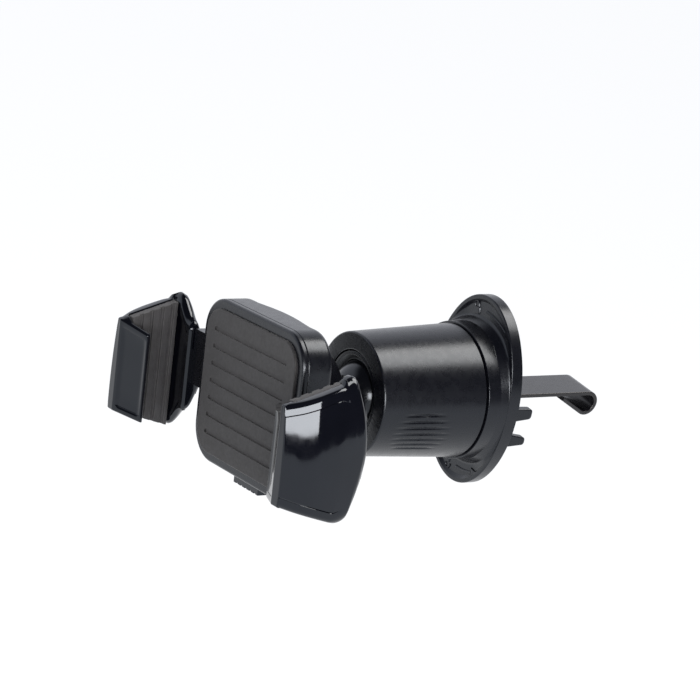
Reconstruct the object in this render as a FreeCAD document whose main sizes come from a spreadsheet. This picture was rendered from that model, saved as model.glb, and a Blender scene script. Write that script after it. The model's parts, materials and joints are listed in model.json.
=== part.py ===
import FreeCAD, Part
import math
import os
import re
import Sketcher

# Car phone mount for an air vent, in millimetres.
# +Y points at the vent, +X to the driver's right and +Z up. The origin is the centre of the
# oval flange's vent-side face, on the axis of the round barrel.
# The cradle group is modelled upright and its Placement rolls it about the barrel axis.

DIMENSIONS = {
    # flange
    "flange_half_width": 16.2,
    "flange_half_height": 23.1,
    "flange_thick": 3.0,
    "collar_outer": 16.1,
    "collar_inner": 13.75,
    "collar_front": 8.5,
    "pocket_depth": 0.7,
    "pocket_rim": 1.1,
    "pocket_inner": 17.9,
    "prong_inner_x": 13.1,
    "prong_outer_x": 14.9,
    "prong_long": 4.7,
    "prong_short": 4.3,
    "slot_half_width": 5.4,
    "slot_half_height": 0.8,
    # core tube and ball socket
    "core_outer": 11.0,
    "core_bore": 7.2,
    "core_front": 31.4,
    "core_lip_front": 33.5,
    "core_lip_outer": 12.6,
    "wall_front": 21.6,
    "wall_rear": 19.6,
    "screw_circle": 9.1,
    "ball_depth": 31.0,
    "ball_radius": 8.5,
    "liner_outer": 9.3,
    "socket_radius": 9.4,
    "ring_outer": 9.85,
    "ring_front": 35.6,
    "running_gap": 0.1,
    # lock knob
    "knob_front": 35.85,
    "knob_rear": 8.84,
    "knob_front_radius": 14.26,
    "knob_rear_radius": 15.63,
    "knob_bore": 13.3,
    "knob_face_bore": 10.15,
    "knob_face_thick": 2.1,
    "rib_count": 7,
    "rib_step": 6.4,
    "rib_first": 3.2,
    "rib_patch": 7.6,
    "rib_width": 0.9,
    "rib_depth": 0.32,
    "rib_middle": 24.3,
    # cam sleeve and hook carriage
    "cam_inner": 11.1,
    "cam_front": 31.2,
    "cam_rear": 3.4,
    "hook_travel": 10.0,
    "knob_turn": 300.0,
    "cam_slot": 2.3,
    "slot_overrun": 7.0,
    "pin_radius": 1.0,
    "pin_depth": 7.5,
    "pin_reach": 12.9,
    "carrier_radius": 7.1,
    "carrier_front": 9.4,
    "carrier_rear": 3.2,
    # hook strip
    "strip_width": 10.2,
    "strip_thick": 0.95,
    "strip_top": 0.46,
    "strip_start": 6.2,
    "curl_centre_y": 28.55,
    "curl_radius": 3.03,
    "leg_slope": 30.5,
    "leg_length": 6.86,
    "rivet_x": 3.0,
    "rivet_depth": 4.7,
    # cradle, measured from the barrel axis
    "cradle_roll": 9.2,
    "phone_width": 70.6,
    "phone_back": 63.7,
    "body_half_width": 22.0,
    "body_half_height": 19.0,
    "body_corner": 8.0,
    "body_wall": 1.8,
    "front_cover_front": 63.0,
    "front_cover_rear": 61.5,
    "box_rear": 55.0,
    "plate_front": 56.8,
    "plate_rear": 55.6,
    "dome_radius": 18.9,
    "hub_radius": 9.8,
    "hub_end": 43.5,
    "hub_wall": 1.8,
    "neck_radius": 4.1,
    "spigot_radius": 3.0,
    "stud_flange": 7.2,
    "boss_x": 17.3,
    "boss_z": 14.3,
    "boss_radius": 2.2,
    # arms and pinion
    "arm_front": 61.2,
    "arm_rear": 58.4,
    "arm_centre": -1.5,
    "arm_tall": 10.0,
    "arm_low_reach": 3.0,
    "pitch_radius": 4.0,
    "tooth_count": 10,
    "tooth_gap": 0.2,
    "rack_tip": 0.5,
    "rack_root": 0.9,
    "pinion_tip": 0.65,
    "pinion_root": 0.95,
    "rack_reach": 11.5,
    "arm_shoulder": 13.0,
    "arm_neck": 29.0,
    "arm_end": 37.6,
    "tongue_tall": 5.0,
    "grip_screw_x": 33.5,
    "grip_screw_offset": 1.8,
    "lug_x": 0.5,
    "lug_wide": 1.5,
    "post_x": 13.5,
    "spring_z": 13.1,
    # grips
    "lip_edge": 28.2,
    "pad_thick": 2.4,
    "grip_front": 76.8,
    "grip_rear": 57.2,
    "grip_top_front": 9.2,
    "grip_top_rear": 15.0,
    "grip_low_front": 12.7,
    "grip_low_rear": 17.3,
    "rear_arc_radius": 30.45,
    "rear_arc_y": 87.62,
    "rear_arc_z": 0.84,
    # release slider
    "button_half": 5.5,
    "button_end": 21.3,
    "press_travel": 1.5,
}

PRESSURE_ANGLE = 20

X_AXIS = FreeCAD.Vector(1, 0, 0)
Y_AXIS = FreeCAD.Vector(0, 1, 0)
Z_AXIS = FreeCAD.Vector(0, 0, 1)
TURNS = {
    "x": FreeCAD.Rotation(Y_AXIS, 90),
    "y": FreeCAD.Rotation(X_AXIS, -90),
    "z": FreeCAD.Rotation(),
}

doc = FreeCAD.newDocument("car_phone_mount")
sheet = doc.addObject("Spreadsheet::Sheet", "dims")
for row, (alias, number) in enumerate(DIMENSIONS.items(), start=1):
    sheet.set(f"A{row}", alias)
    sheet.set(f"B{row}", str(number))
    sheet.setAlias(f"B{row}", alias)
doc.recompute()

nodes = {}


def linked(text):
    """Return an expression in which every dimension's name points at the sheet."""
    return re.sub(r"[a-z_]+", lambda word: f"dims.{word[0]}" if word[0] in DIMENSIONS else word[0], text)


def value(text):
    """Return an expression's number."""
    return float(sheet.evalExpression(linked(text)))


def bind(thing, **properties):
    """Bind properties, named with __ for a dot, to expressions."""
    for name, text in properties.items():
        thing.setExpression(name.replace("__", "."), linked(text))
    return thing


def move(thing, x="0", y="0", z="0"):
    """Bind an object's position."""
    return bind(thing, Placement__Base__x=x, Placement__Base__y=y, Placement__Base__z=z)


def block(name, x, y, z):
    """A box between pairs of limits."""
    box = doc.addObject("Part::Box", name)
    bind(box, Length=f"({x[1]}) - ({x[0]})", Width=f"({y[1]}) - ({y[0]})", Height=f"({z[1]}) - ({z[0]})")
    return move(box, x[0], y[0], z[0])


def rod(name, along, radius, span, x="0", y="0", z="0"):
    """A cylinder along an axis; the coordinate on that axis is given by span."""
    cylinder = doc.addObject("Part::Cylinder", name)
    cylinder.Placement = FreeCAD.Placement(FreeCAD.Vector(), TURNS[along])
    bind(cylinder, Radius=radius, Height=f"({span[1]}) - ({span[0]})")
    start = {"x": x, "y": y, "z": z}
    start[along] = span[0]
    return move(cylinder, **start)


def cone(name, radii, span, x="0", z="0"):
    """A cone along Y."""
    solid = doc.addObject("Part::Cone", name)
    solid.Placement = FreeCAD.Placement(FreeCAD.Vector(), TURNS["y"])
    bind(solid, Radius1=radii[0], Radius2=radii[1], Height=f"({span[1]}) - ({span[0]})")
    return move(solid, x, span[0], z)


def sphere(name, radius, y):
    """A sphere on the barrel axis."""
    solid = bind(doc.addObject("Part::Sphere", name), Radius=radius)
    return move(solid, y=y)


def fuse(name, *parts):
    """Join solids."""
    joined = doc.addObject("Part::MultiFuse", name)
    joined.Shapes = list(parts)
    joined.Refine = True
    return joined


def cut(name, base, *tools):
    """Cut one or more tools from a solid."""
    result = doc.addObject("Part::Cut", name)
    result.Base = base
    result.Tool = tools[0] if len(tools) == 1 else fuse(f"{name}_tools", *tools)
    return result


def common(name, *parts):
    """Keep what solids share."""
    shared = doc.addObject("Part::MultiCommon", name)
    shared.Shapes = list(parts)
    return shared


def rounded(name, base, radius, wanted):
    """Round the edges that a test picks."""
    doc.recompute()
    fillet = doc.addObject("Part::Fillet", name)
    fillet.Base = base
    size = value(radius)
    fillet.Edges = [(i, size, size) for i, edge in enumerate(base.Shape.Edges, start=1) if wanted(edge)]
    return fillet


def upright_corner(edge):
    """True for a straight edge along Y."""
    if not isinstance(edge.Curve, (Part.Line, Part.LineSegment)):
        return False
    ends = edge.Vertexes[1].Point - edge.Vertexes[0].Point
    return abs(ends.x) < 1e-6 and abs(ends.z) < 1e-6


def body_with_sketch(name, plane, points):
    """A body holding a closed sketch whose corners are each pinned to the sheet."""
    body = doc.addObject("PartDesign::Body", name)
    sketch = body.newObject("Sketcher::SketchObject", f"{name}_sketch")
    sketch.AttachmentSupport = next(f for f in body.Origin.OriginFeatures if f.Role == plane)
    sketch.MapMode = "FlatFace"
    corners = [FreeCAD.Vector(value(across), value(along), 0) for across, along in points]
    count = len(corners)
    for i, corner in enumerate(corners):
        sketch.addGeometry(Part.LineSegment(corner, corners[(i + 1) % count]), False)
    for i in range(count):
        sketch.addConstraint(Sketcher.Constraint("Coincident", i, 2, (i + 1) % count, 1))
    for i, (across, along) in enumerate(points):
        for kind, text in (("DistanceX", across), ("DistanceY", along)):
            pin = Sketcher.Constraint(kind, -1, 1, i, 1, value(text))
            index = sketch.addConstraint(pin)
            sketch.setExpression(f"Constraints[{index}]", linked(text))
    return body, sketch


def turned(name, points):
    """A solid of revolution about Y from (radius, y) corners."""
    body, sketch = body_with_sketch(name, "XY_Plane", points)
    turn = body.newObject("PartDesign::Revolution", f"{name}_turn")
    turn.Profile = sketch
    turn.ReferenceAxis = (sketch, ["V_Axis"])
    turn.Angle = 360
    body.Tip = turn
    return body


def prism(name, plane, points, length):
    """A solid of both ways from a plane, with the given whole length."""
    body, sketch = body_with_sketch(name, plane, points)
    pad = body.newObject("PartDesign::Pad", f"{name}_pad")
    pad.Profile = sketch
    pad.Midplane = True
    bind(pad, Length=length)
    body.Tip = pad
    return body


def node(label, thing, placement=None):
    """Name a finished sub-part; its own Placement stays on top of the group's."""
    thing.Label = label
    if placement is not None:
        thing.Placement = placement
    nodes[label] = thing
    return thing


CRADLE = FreeCAD.Placement(FreeCAD.Vector(), FreeCAD.Rotation(Y_AXIS, -value("cradle_roll")))


def cradle_node(label, thing, height="0"):
    """Name a sub-part of the rolled cradle group, raised by a height."""
    return node(label, thing, CRADLE.multiply(FreeCAD.Placement(Z_AXIS * value(height), FreeCAD.Rotation())))


def oval(name, inset, span):
    """An elliptical plate about the barrel axis between two depths."""
    plate = doc.addObject("Part::Feature", name)
    upright, level = value(f"flange_half_height - {inset}"), value(f"flange_half_width - {inset}")
    ellipse = Part.Ellipse(FreeCAD.Vector(0, 0, upright), FreeCAD.Vector(level, 0, 0), FreeCAD.Vector())
    face = Part.Face(Part.Wire(ellipse.toShape()))
    start, end = value(span[0]), value(span[1])
    plate.Shape = face.extrude(FreeCAD.Vector(0, end - start, 0)).translated(FreeCAD.Vector(0, start, 0))
    return plate


# ---------------------------------------------------------------- flange


def vent_flange():
    collar = turned("collar", [
        ("collar_inner", "-collar_front"),
        ("collar_outer", "-collar_front"),
        ("collar_outer", "-flange_thick - 1.2"),
        ("collar_outer + 1.2", "-flange_thick"),
        ("collar_outer + 1.2", "-flange_thick / 2"),
        ("collar_inner", "-flange_thick / 2"),
    ])
    collar = common("collar_trim", collar, oval("collar_oval", "0", ("-collar_front - 1", "0")))
    pockets = cut(
        "pockets",
        oval("pocket_oval", "pocket_rim", ("-flange_thick - 1", "pocket_depth - flange_thick")),
        rod("pocket_core", "y", "pocket_inner", ("-flange_thick - 2", "0")),
    )
    plate = cut("flange_plate", oval("flange_oval", "0", ("-flange_thick", "0")), pockets)
    upper = [("-0.2", "1.5"), ("prong_long", "1.25"), ("prong_long", "-1.24"), ("-0.2", "-1.95")]
    lower = [("-0.2", "-4.8"), ("prong_short", "-6.0"), ("prong_short", "-7.8"), ("-0.2", "-8.2")]
    prongs = []
    for name, outline in (("upper", upper), ("lower", lower)):
        pair = prism(f"{name}_prongs", "YZ_Plane", outline, "2 * prong_outer_x")
        middle = block(f"{name}_gap", ("-prong_inner_x", "prong_inner_x"), ("0", "9"), ("-9", "9"))
        prongs.append(cut(f"{name}_prong_pair", pair, middle))
    slot = block(
        "strip_slot",
        ("-slot_half_width", "slot_half_width"),
        ("-flange_thick - 1", "1"),
        ("-slot_half_height", "slot_half_height"),
    )
    holes = []
    for side, sign in (("top", ""), ("bottom", "-")):
        centre = f"{sign}screw_circle"
        holes.append(rod(f"{side}_screw_hole", "y", "1.3", ("-flange_thick - 1", "1"), z=centre))
        holes.append(cone(f"{side}_screw_sink", ("1.2", "2.5"), ("-1.3", "0.01"), z=centre))
    whole = fuse("flange_whole", plate, collar, *prongs)
    return node("vent_flange", cut("flange", whole, slot, *holes))


def core_tube():
    tube = turned("tube", [
        ("core_bore", "-flange_thick"),
        ("core_outer", "-flange_thick"),
        ("core_outer", "-core_front"),
        ("core_lip_outer", "-core_front"),
        ("core_lip_outer", "-core_lip_front"),
        ("socket_radius", "-core_lip_front"),
        ("socket_radius", "-ball_depth"),
        ("core_bore", "-wall_front - 1"),
        ("0.6", "-wall_front - 1"),
        ("0.6", "-wall_rear"),
        ("core_bore", "-wall_rear"),
    ])
    cavity = sphere("socket_cavity", "socket_radius", "-ball_depth")
    washer_seat = rod("washer_seat", "y", "5.7", ("-wall_front - 1", "-wall_front + 1"))
    pin_slot = block(
        "pin_slot",
        ("-core_outer - 1", "core_outer + 1"),
        ("-pin_depth - hook_travel - pin_radius - running_gap", "pin_radius + running_gap - pin_depth"),
        ("-pin_radius - running_gap", "pin_radius + running_gap"),
    )
    clear_wall = rod("slot_stop", "y", "core_bore - 0.01", ("-wall_front - 2", "-wall_rear"))
    slots = cut("pin_slots", pin_slot, clear_wall)
    pilots = [
        rod(f"{side}_pilot", "y", "0.9", ("-flange_thick - 8", "-flange_thick + 1"), z=f"{sign}screw_circle")
        for side, sign in (("top", ""), ("bottom", "-"))
    ]
    return node("core_tube", cut("core", tube, cavity, washer_seat, slots, *pilots))


def cross_recess(name, reach, half, span, x="0", z="0"):
    """Two crossed blocks that cut a screwdriver's cross into a head facing along Y."""
    wide = (f"{x} - {reach}", f"{x} + {reach}"), (f"{z} - {half}", f"{z} + {half}")
    tall = (f"{x} - {half}", f"{x} + {half}"), (f"{z} - {reach}", f"{z} + {reach}")
    return [block(f"{name}_{i}", across, span, up) for i, (across, up) in enumerate((wide, tall))]


def core_screws():
    screws = []
    for side, sign in (("top", ""), ("bottom", "-")):
        centre = f"{sign}screw_circle"
        shank = rod(f"{side}_shank", "y", "0.9", ("-flange_thick - 7", "-1.2"), z=centre)
        head = cone(f"{side}_head", ("0.9", "2.3"), ("-1.3", "-0.1"), z=centre)
        cross = cross_recess(f"{side}_cross", "1.3", "0.2", ("-0.8", "0"), z=centre)
        screws.append(cut(f"{side}_core_screw", fuse(f"{side}_blank", shank, head), *cross))
    return node("core_screws", fuse("core_screw_pair", *screws))


def socket_ring():
    ring = turned("ring", [
        ("9.3", "-ball_depth - 1.3"),
        ("7.0", "-ball_depth - 1.3"),
        ("7.0", "-ring_front + 1.9"),
        ("8.05", "-ring_front + 1.9"),
        ("9.0", "-ring_front"),
        ("ring_outer", "-ring_front"),
        ("ring_outer", "-core_lip_front - 0.15"),
        ("9.3", "-core_lip_front - 0.15"),
    ])
    seat = sphere("ring_ball", "ball_radius + running_gap", "-ball_depth")
    return node("socket_ring", cut("ring_seat", ring, seat))


def friction_washer():
    return node("friction_washer", turned("washer", [
        ("2.7", "-wall_front - 0.45"),
        ("5.5", "-wall_front + 0.55"),
        ("5.5", "-wall_front + 0.95"),
        ("2.7", "-wall_front - 0.05"),
    ]))


# ---------------------------------------------------------------- lock knob


def lock_knob():
    shell = turned("knob_shell", [
        ("knob_bore", "-knob_rear"),
        ("knob_rear_radius - 0.4", "-knob_rear"),
        ("knob_rear_radius", "-knob_rear - 0.4"),
        ("knob_front_radius", "-knob_front + 0.4"),
        ("knob_front_radius - 0.4", "-knob_front"),
        ("knob_face_bore", "-knob_front"),
        ("knob_face_bore", "-knob_front + knob_face_thick"),
        ("knob_bore", "-knob_front + knob_face_thick"),
    ])
    ribs = [rib_cutter(group, index) for group in range(2) for index in range(DIMENSIONS["rib_count"])]
    return node("lock_knob", cut("knob", shell, *ribs))


def rib_cutter(group, index):
    """A thin disc that cuts one lens-shaped groove; the grooves of a group fill a round patch."""
    middle = (DIMENSIONS["rib_count"] - 1) / 2
    radius = value("(knob_front_radius + knob_rear_radius) / 2")
    across = radius * math.radians((index - middle) * value("rib_step"))
    half = math.sqrt(value("rib_patch") ** 2 - across**2)
    depth = value("rib_depth")
    disc = doc.addObject("Part::Cylinder", f"rib_{group}_{index}")
    bind(disc, Height="rib_width")
    disc.Radius = (half**2 + depth**2) / (2 * depth)
    facing = FreeCAD.Rotation(Y_AXIS, -value(f"rib_first - {index} * rib_step + {group} * 180"))
    start = facing.multVec(FreeCAD.Vector(disc.Radius.Value + radius - depth, 0, -value("rib_width") / 2))
    start.y = -value("rib_middle")
    disc.Placement = FreeCAD.Placement(start, facing)
    return disc


def cam_sleeve():
    """A sleeve with two helical slots, half a turn apart, for the ends of the follower pin."""
    inner, outer = value("cam_inner"), value("knob_bore")
    length = value("cam_front - cam_rear")
    overrun = value("slot_overrun")
    pitch = value("hook_travel * 360 / knob_turn")
    rise = pitch * (value("knob_turn") + 2 * overrun) / 360
    half, near, far = value("cam_slot / 2"), inner - 0.5, outer + 0.5
    corners = [(near, -half), (far, -half), (far, half), (near, half), (near, -half)]
    profile = Part.makePolygon([FreeCAD.Vector(x, 0, z) for x, z in corners])
    helix = Part.makeHelix(pitch, rise, (inner + outer) / 2)
    slot = Part.Wire(helix.Edges).makePipeShell([profile], True, True)
    tightest = value("cam_front - pin_depth - hook_travel") - pitch * overrun / 360
    slot.translate(FreeCAD.Vector(0, 0, tightest))
    sleeve = Part.makeCylinder(outer, length).cut(Part.makeCylinder(inner, length))
    for start in (0, 180):
        sleeve = sleeve.cut(slot.rotated(FreeCAD.Vector(), Z_AXIS, start - value("knob_turn + slot_overrun")))
    cam = doc.addObject("Part::Feature", "cam")
    cam.Shape = sleeve
    return node("cam_sleeve", cam, FreeCAD.Placement(FreeCAD.Vector(0, -value("cam_front"), 0), TURNS["y"]))


# ---------------------------------------------------------------- hook carriage


def rivet_rods(name, radius, reach):
    """Upright rods at the two rivet places."""
    return [
        rod(f"{side}_{name}", "z", radius, (f"-{reach}", reach), x=x, y="-rivet_depth")
        for side, x in (("left", "-rivet_x"), ("right", "rivet_x"))
    ]


def vent_hook():
    half = "strip_width / 2"
    slope, radius = math.radians(value("leg_slope")), value("curl_radius")
    strip = block(
        "strip",
        (f"-{half}", half),
        ("-strip_start", "curl_centre_y"),
        ("strip_top - strip_thick", "strip_top"),
    )
    to_leg = FreeCAD.Vector(0, -math.sin(slope), -math.cos(slope))
    curl = doc.addObject("Part::Cylinder", "curl_outer")
    bind(curl, Radius="curl_radius", Height="strip_width", Angle="180 + leg_slope")
    curl.Placement.Rotation = FreeCAD.Rotation(to_leg, X_AXIS.cross(to_leg), X_AXIS, "ZXY")
    move(curl, f"-{half}", "curl_centre_y", "strip_top - curl_radius")
    bore = rod(
        "curl_bore",
        "x",
        "curl_radius - strip_thick",
        (f"-{half} - 1", f"{half} + 1"),
        y="curl_centre_y",
        z="strip_top - curl_radius",
    )
    leg = doc.addObject("Part::Box", "leg")
    bind(leg, Length="strip_width", Width="leg_length", Height="strip_thick")
    centre = FreeCAD.Vector(-value(half), value("curl_centre_y"), value("strip_top - curl_radius"))
    along_leg = FreeCAD.Vector(0, -math.cos(slope), math.sin(slope))
    tip = centre + to_leg * radius + along_leg * value("leg_length")
    leg.Placement = FreeCAD.Placement(tip, FreeCAD.Rotation(X_AXIS, -value("leg_slope")))
    whole = fuse("hook_strip", strip, cut("curl_ring", curl, bore), leg)
    return node("vent_hook", cut("hook", whole, *rivet_rods("strip_hole", "1.02", "3")))


def hook_carrier():
    blank = rod("carrier_blank", "y", "carrier_radius", ("-carrier_front", "-carrier_rear"))
    tongue = block(
        "tongue_slot",
        ("-strip_width / 2 - 0.05", "strip_width / 2 + 0.05"),
        ("-strip_start - 0.05", "0"),
        ("strip_top - strip_thick - 0.02", "strip_top + 0.02"),
    )
    span = ("-carrier_radius - 1", "carrier_radius + 1")
    bore = rod("carrier_bore", "x", "pin_radius", span, y="-pin_depth")
    holes = rivet_rods("carrier_hole", "1.02", "8")
    return node("hook_carrier", cut("carrier", blank, tongue, bore, *holes))


def hook_rivets():
    return node("hook_rivets", fuse("rivet_pair", *rivet_rods("rivet", "1.0", "5.6")))


def follower_pin():
    pin = rod("pin", "x", "pin_radius - 0.01", ("-pin_reach", "pin_reach"), y="-pin_depth")
    return node("follower_pin", pin)


# ---------------------------------------------------------------- ball joint


def ball_liner():
    shell = cut(
        "liner_shell",
        sphere("liner_outside", "liner_outer", "-ball_depth"),
        sphere("liner_inside", "ball_radius + running_gap", "-ball_depth"),
    )
    keep = block("liner_keep", ("-12", "12"), ("2.5 - ball_depth", "12 - ball_depth"), ("-12", "12"))
    return node("ball_liner", common("liner", shell, keep))


def ball():
    whole = sphere("ball_blank", "ball_radius", "-ball_depth")
    keep = block("ball_keep", ("-9", "9"), ("-ball_depth - 7.4", "9 - ball_depth"), ("-9", "9"))
    bore = rod("ball_bore", "y", "spigot_radius + 0.06", ("-ball_depth - 9", "3.0 - ball_depth"))
    well = rod("ball_well", "y", "4.6", ("3.0 - ball_depth", "9 - ball_depth"))
    return node("ball", cut("ball_cut", common("ball_flat", whole, keep), bore, well), CRADLE)


def ball_stud():
    stud = turned("stud", [
        ("0", "2.9 - ball_depth"),
        ("spigot_radius", "2.9 - ball_depth"),
        ("spigot_radius", "-ball_depth - 7.6"),
        ("neck_radius", "-ball_depth - 7.6"),
        ("neck_radius", "-hub_end - hub_wall"),
        ("stud_flange", "-hub_end - hub_wall"),
        ("stud_flange", "-hub_end - hub_wall - 1.6"),
        ("0", "-hub_end - hub_wall - 1.6"),
    ])
    holes = [rod(f"stud_hole_{i}", "y", "0.85", ("-49", "-44"), x=x) for i, x in enumerate(("5.6", "-5.6"))]
    pilot = rod("stud_pilot", "y", "1.0", ("-ball_depth - 4", "3.5 - ball_depth"))
    return cradle_node("ball_stud", cut("stud_body", stud, pilot, *holes))


def ball_screw():
    shank = rod("ball_screw_shank", "y", "0.95", ("-ball_depth - 3", "3.0 - ball_depth"))
    head = rod("ball_screw_head", "y", "3.9", ("3.05 - ball_depth", "4.6 - ball_depth"))
    neck = rod("ball_screw_neck", "y", "0.95", ("2.5 - ball_depth", "3.5 - ball_depth"))
    cross = cross_recess("ball_cross", "1.6", "0.3", ("3.8 - ball_depth", "5 - ball_depth"))
    blank = fuse("ball_screw_blank", shank, neck, head)
    return cradle_node("ball_screw", cut("ball_screw_cut", blank, *cross))


# ---------------------------------------------------------------- cradle body


def slab(name, inset, span, corner):
    """A plate with rounded corners, the body's outline less an inset."""
    box = block(
        f"{name}_box",
        (f"{inset} - body_half_width", f"body_half_width - ({inset})"),
        span,
        (f"{inset} - body_half_height", f"body_half_height - ({inset})"),
    )
    return rounded(name, box, corner, upright_corner)


def at_corners(name, radius, span):
    """Rods at the four screw places."""
    return [
        rod(f"{name}_{i}", "y", radius, span, x=f"{sx}boss_x", z=f"{sz}boss_z")
        for i, (sx, sz) in enumerate((("", ""), ("-", ""), ("-", "-"), ("", "-")))
    ]


def back_cover():
    shell = fuse(
        "back_shell",
        slab("back_slab", "0", ("-front_cover_rear", "-box_rear"), "body_corner"),
        cone("dome", ("dome_radius", "hub_radius"), ("-box_rear", "-hub_end")),
    )
    room = slab("back_room", "body_wall", ("-front_cover_rear - 1", "-plate_rear"), "body_corner - body_wall")
    hollow = cone(
        "dome_room", ("dome_radius - 3.4", "hub_radius - body_wall"), ("-plate_rear", "-hub_end - hub_wall")
    )
    bosses = common(
        "bosses",
        fuse("boss_rods", *at_corners("boss", "boss_radius", ("-front_cover_rear", "-plate_rear"))),
        slab("boss_limit", "0.5", ("-front_cover_rear - 1", "-box_rear"), "body_corner - 0.5"),
    )
    hollowed = fuse("back_bossed", cut("back_hollow", shell, room, hollow), bosses)
    right = block(
        "right_window",
        ("body_half_width - 4", "body_half_width + 1"),
        ("-arm_front - 0.2", "0.2 - arm_rear"),
        ("arm_centre - arm_tall - 0.2", "arm_centre + arm_low_reach + 0.2"),
    )
    left = block(
        "left_window",
        ("-body_half_width - 1", "4 - body_half_width"),
        ("-arm_front - 0.2", "0.2 - arm_rear"),
        ("arm_centre - arm_low_reach - 0.2", "arm_centre + arm_tall + 0.2"),
    )
    door = block(
        "button_window", ("-button_half - 0.2", "button_half + 0.2"), ("-61.1", "-57.0"), ("-20", "-17")
    )
    neck_hole = rod("neck_hole", "y", "neck_radius + 0.05", ("-hub_end - 4", "-hub_end + 1"))
    pilots = at_corners("boss_pilot", "0.8", ("-front_cover_rear - 1", "-plate_rear - 0.8"))
    stud_pilots = [
        rod(f"hub_pilot_{i}", "y", "0.7", ("-hub_end - hub_wall - 1", "-hub_end - 0.4"), x=x)
        for i, x in enumerate(("5.6", "-5.6"))
    ]
    openings = [right, left, door, neck_hole, *pilots, *stud_pilots]
    return cradle_node("cradle_back_cover", cut("back_cover", hollowed, *openings))


def front_cover():
    plate = slab("front_slab", "0", ("-front_cover_front", "-front_cover_rear"), "body_corner")
    holes = at_corners("front_hole", "1.0", ("-65", "-60"))
    sinks = at_corners("front_sink", "1.9", ("-front_cover_front - 1", "0.75 - front_cover_front"))
    return cradle_node("cradle_front_cover", cut("front_cover", plate, *holes, *sinks))


def cover_screws():
    shanks = at_corners("cover_shank", "0.8", ("-front_cover_front + 0.1", "-57.5"))
    heads = at_corners("cover_head", "1.75", ("0.1 - front_cover_front", "0.75 - front_cover_front"))
    return cradle_node("cover_screws", fuse("cover_screw_set", *shanks, *heads))


def phone_pad():
    pad = slab("pad_slab", "2.2", ("-phone_back", "-front_cover_front"), "body_corner - 2.2")
    deep = ("-phone_back - 1", "0.3 - phone_back")
    grooves = [
        block(f"pad_groove_{i}", ("-16", "16"), deep, (f"{z} - 0.5", f"{z} + 0.5"))
        for i, z in enumerate(range(-12, 13, 4))
    ]
    return cradle_node("phone_pad", cut("pad", pad, *grooves))


def mid_plate():
    depth = ("-plate_front", "-plate_rear")
    plate = slab("mid_slab", "body_wall + 0.1", depth, "body_corner - body_wall - 0.1")
    notches = at_corners("mid_notch", "boss_radius + 0.15", ("-60", "-50"))
    rise = ("-arm_front", "-plate_front")
    post = block("spring_post", ("-post_x - 1.5", "-post_x"), rise, ("-14.6", "-12"))
    bore = rod("mid_bore", "y", "1.5", ("-60", "-50"), z="arm_centre")
    return cradle_node("mid_plate", cut("mid", fuse("mid_post", plate, post), bore, *notches))


def pinion_pin():
    outline = [
        ("0", "-61.3"),
        ("1.3", "-61.3"),
        ("1.5", "-61.1"),
        ("1.5", "-plate_rear"),
        ("0", "-plate_rear"),
    ]
    return cradle_node("pinion_pin", turned("pinion_pin_rod", outline), "arm_centre")


def stud_screws():
    screws = []
    for i, x in enumerate(("5.6", "-5.6")):
        screws.append(rod(f"stud_shank_{i}", "y", "0.7", ("-47.2", "-hub_end - 0.5"), x=x))
        screws.append(rod(f"stud_head_{i}", "y", "1.5", ("-48.2", "-hub_end - hub_wall - 1.6"), x=x))
    return cradle_node("stud_screws", fuse("stud_screw_pair", *screws))


def coil(name, radius, wire, length, turns, placement):
    """A helical spring along its own Z."""
    pitch = (length - 2 * wire) / turns
    path = Part.Wire(Part.makeHelix(pitch, pitch * turns, radius).Edges)
    section = Part.Wire(Part.Circle(FreeCAD.Vector(radius, 0, 0), Y_AXIS, wire).toShape())
    spring = doc.addObject("Part::Feature", name)
    spring.Shape = path.makePipeShell([section], True, True)
    raised = FreeCAD.Placement(placement.Base, placement.Rotation)
    raised = raised.multiply(FreeCAD.Placement(FreeCAD.Vector(0, 0, wire), FreeCAD.Rotation()))
    return node(name, spring, CRADLE.multiply(raised))


def opening_spring():
    middle = -value("arm_front + arm_rear") / 2
    start = FreeCAD.Vector(-value("post_x") + 0.05, middle, -value("spring_z"))
    length = value("post_x + lug_x") - 0.1
    return coil("opening_spring", 1.0, 0.22, length, 10, FreeCAD.Placement(start, TURNS["x"]))


def release_spring():
    start = FreeCAD.Vector(0, -59.2, 12.25)
    return coil("release_spring", 1.3, 0.22, 4.85, 6, FreeCAD.Placement(start, TURNS["z"]))


# ---------------------------------------------------------------- arms


def rack_teeth(name, pitch_line, points_up):
    """Straight rack teeth along X; the gap in the middle takes a pinion tooth."""
    pitch = value("2 * pi * pitch_radius / tooth_count")
    slope = math.tan(math.radians(PRESSURE_ANGLE))
    half = pitch / 4 - value("tooth_gap") / 2
    tip, root = value("rack_tip"), value("rack_root") + 0.3
    sign = 1 if points_up else -1
    front, deep = -value("arm_front"), value("arm_front - arm_rear")
    teeth = []
    for index in range(-4, 4):
        centre = (index + 0.5) * pitch
        foot, crest = half + root * slope, half - tip * slope
        outline = [(-foot, -root), (foot, -root), (crest, tip), (-crest, tip)]
        corners = [FreeCAD.Vector(centre + x, front, pitch_line + sign * z) for x, z in outline]
        face = Part.Face(Part.makePolygon(corners + corners[:1]))
        teeth.append(face.extrude(FreeCAD.Vector(0, deep, 0)))
    rack = doc.addObject("Part::Feature", name)
    rack.Shape = Part.makeCompound(teeth)
    return rack


def arm(prefix, sign, parts):
    """An arm with its holes for the two grip screws."""
    holes = [
        rod(f"{prefix}_arm_hole_{i}", "y", "1.0", ("-63", "-57"), x=f"{sign}grip_screw_x", z=z)
        for i, z in enumerate(grip_screw_heights(prefix))
    ]
    return cradle_node(f"{prefix}_arm", cut(f"{prefix}_arm_cut", fuse(f"{prefix}_bar", *parts), *holes))


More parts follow.
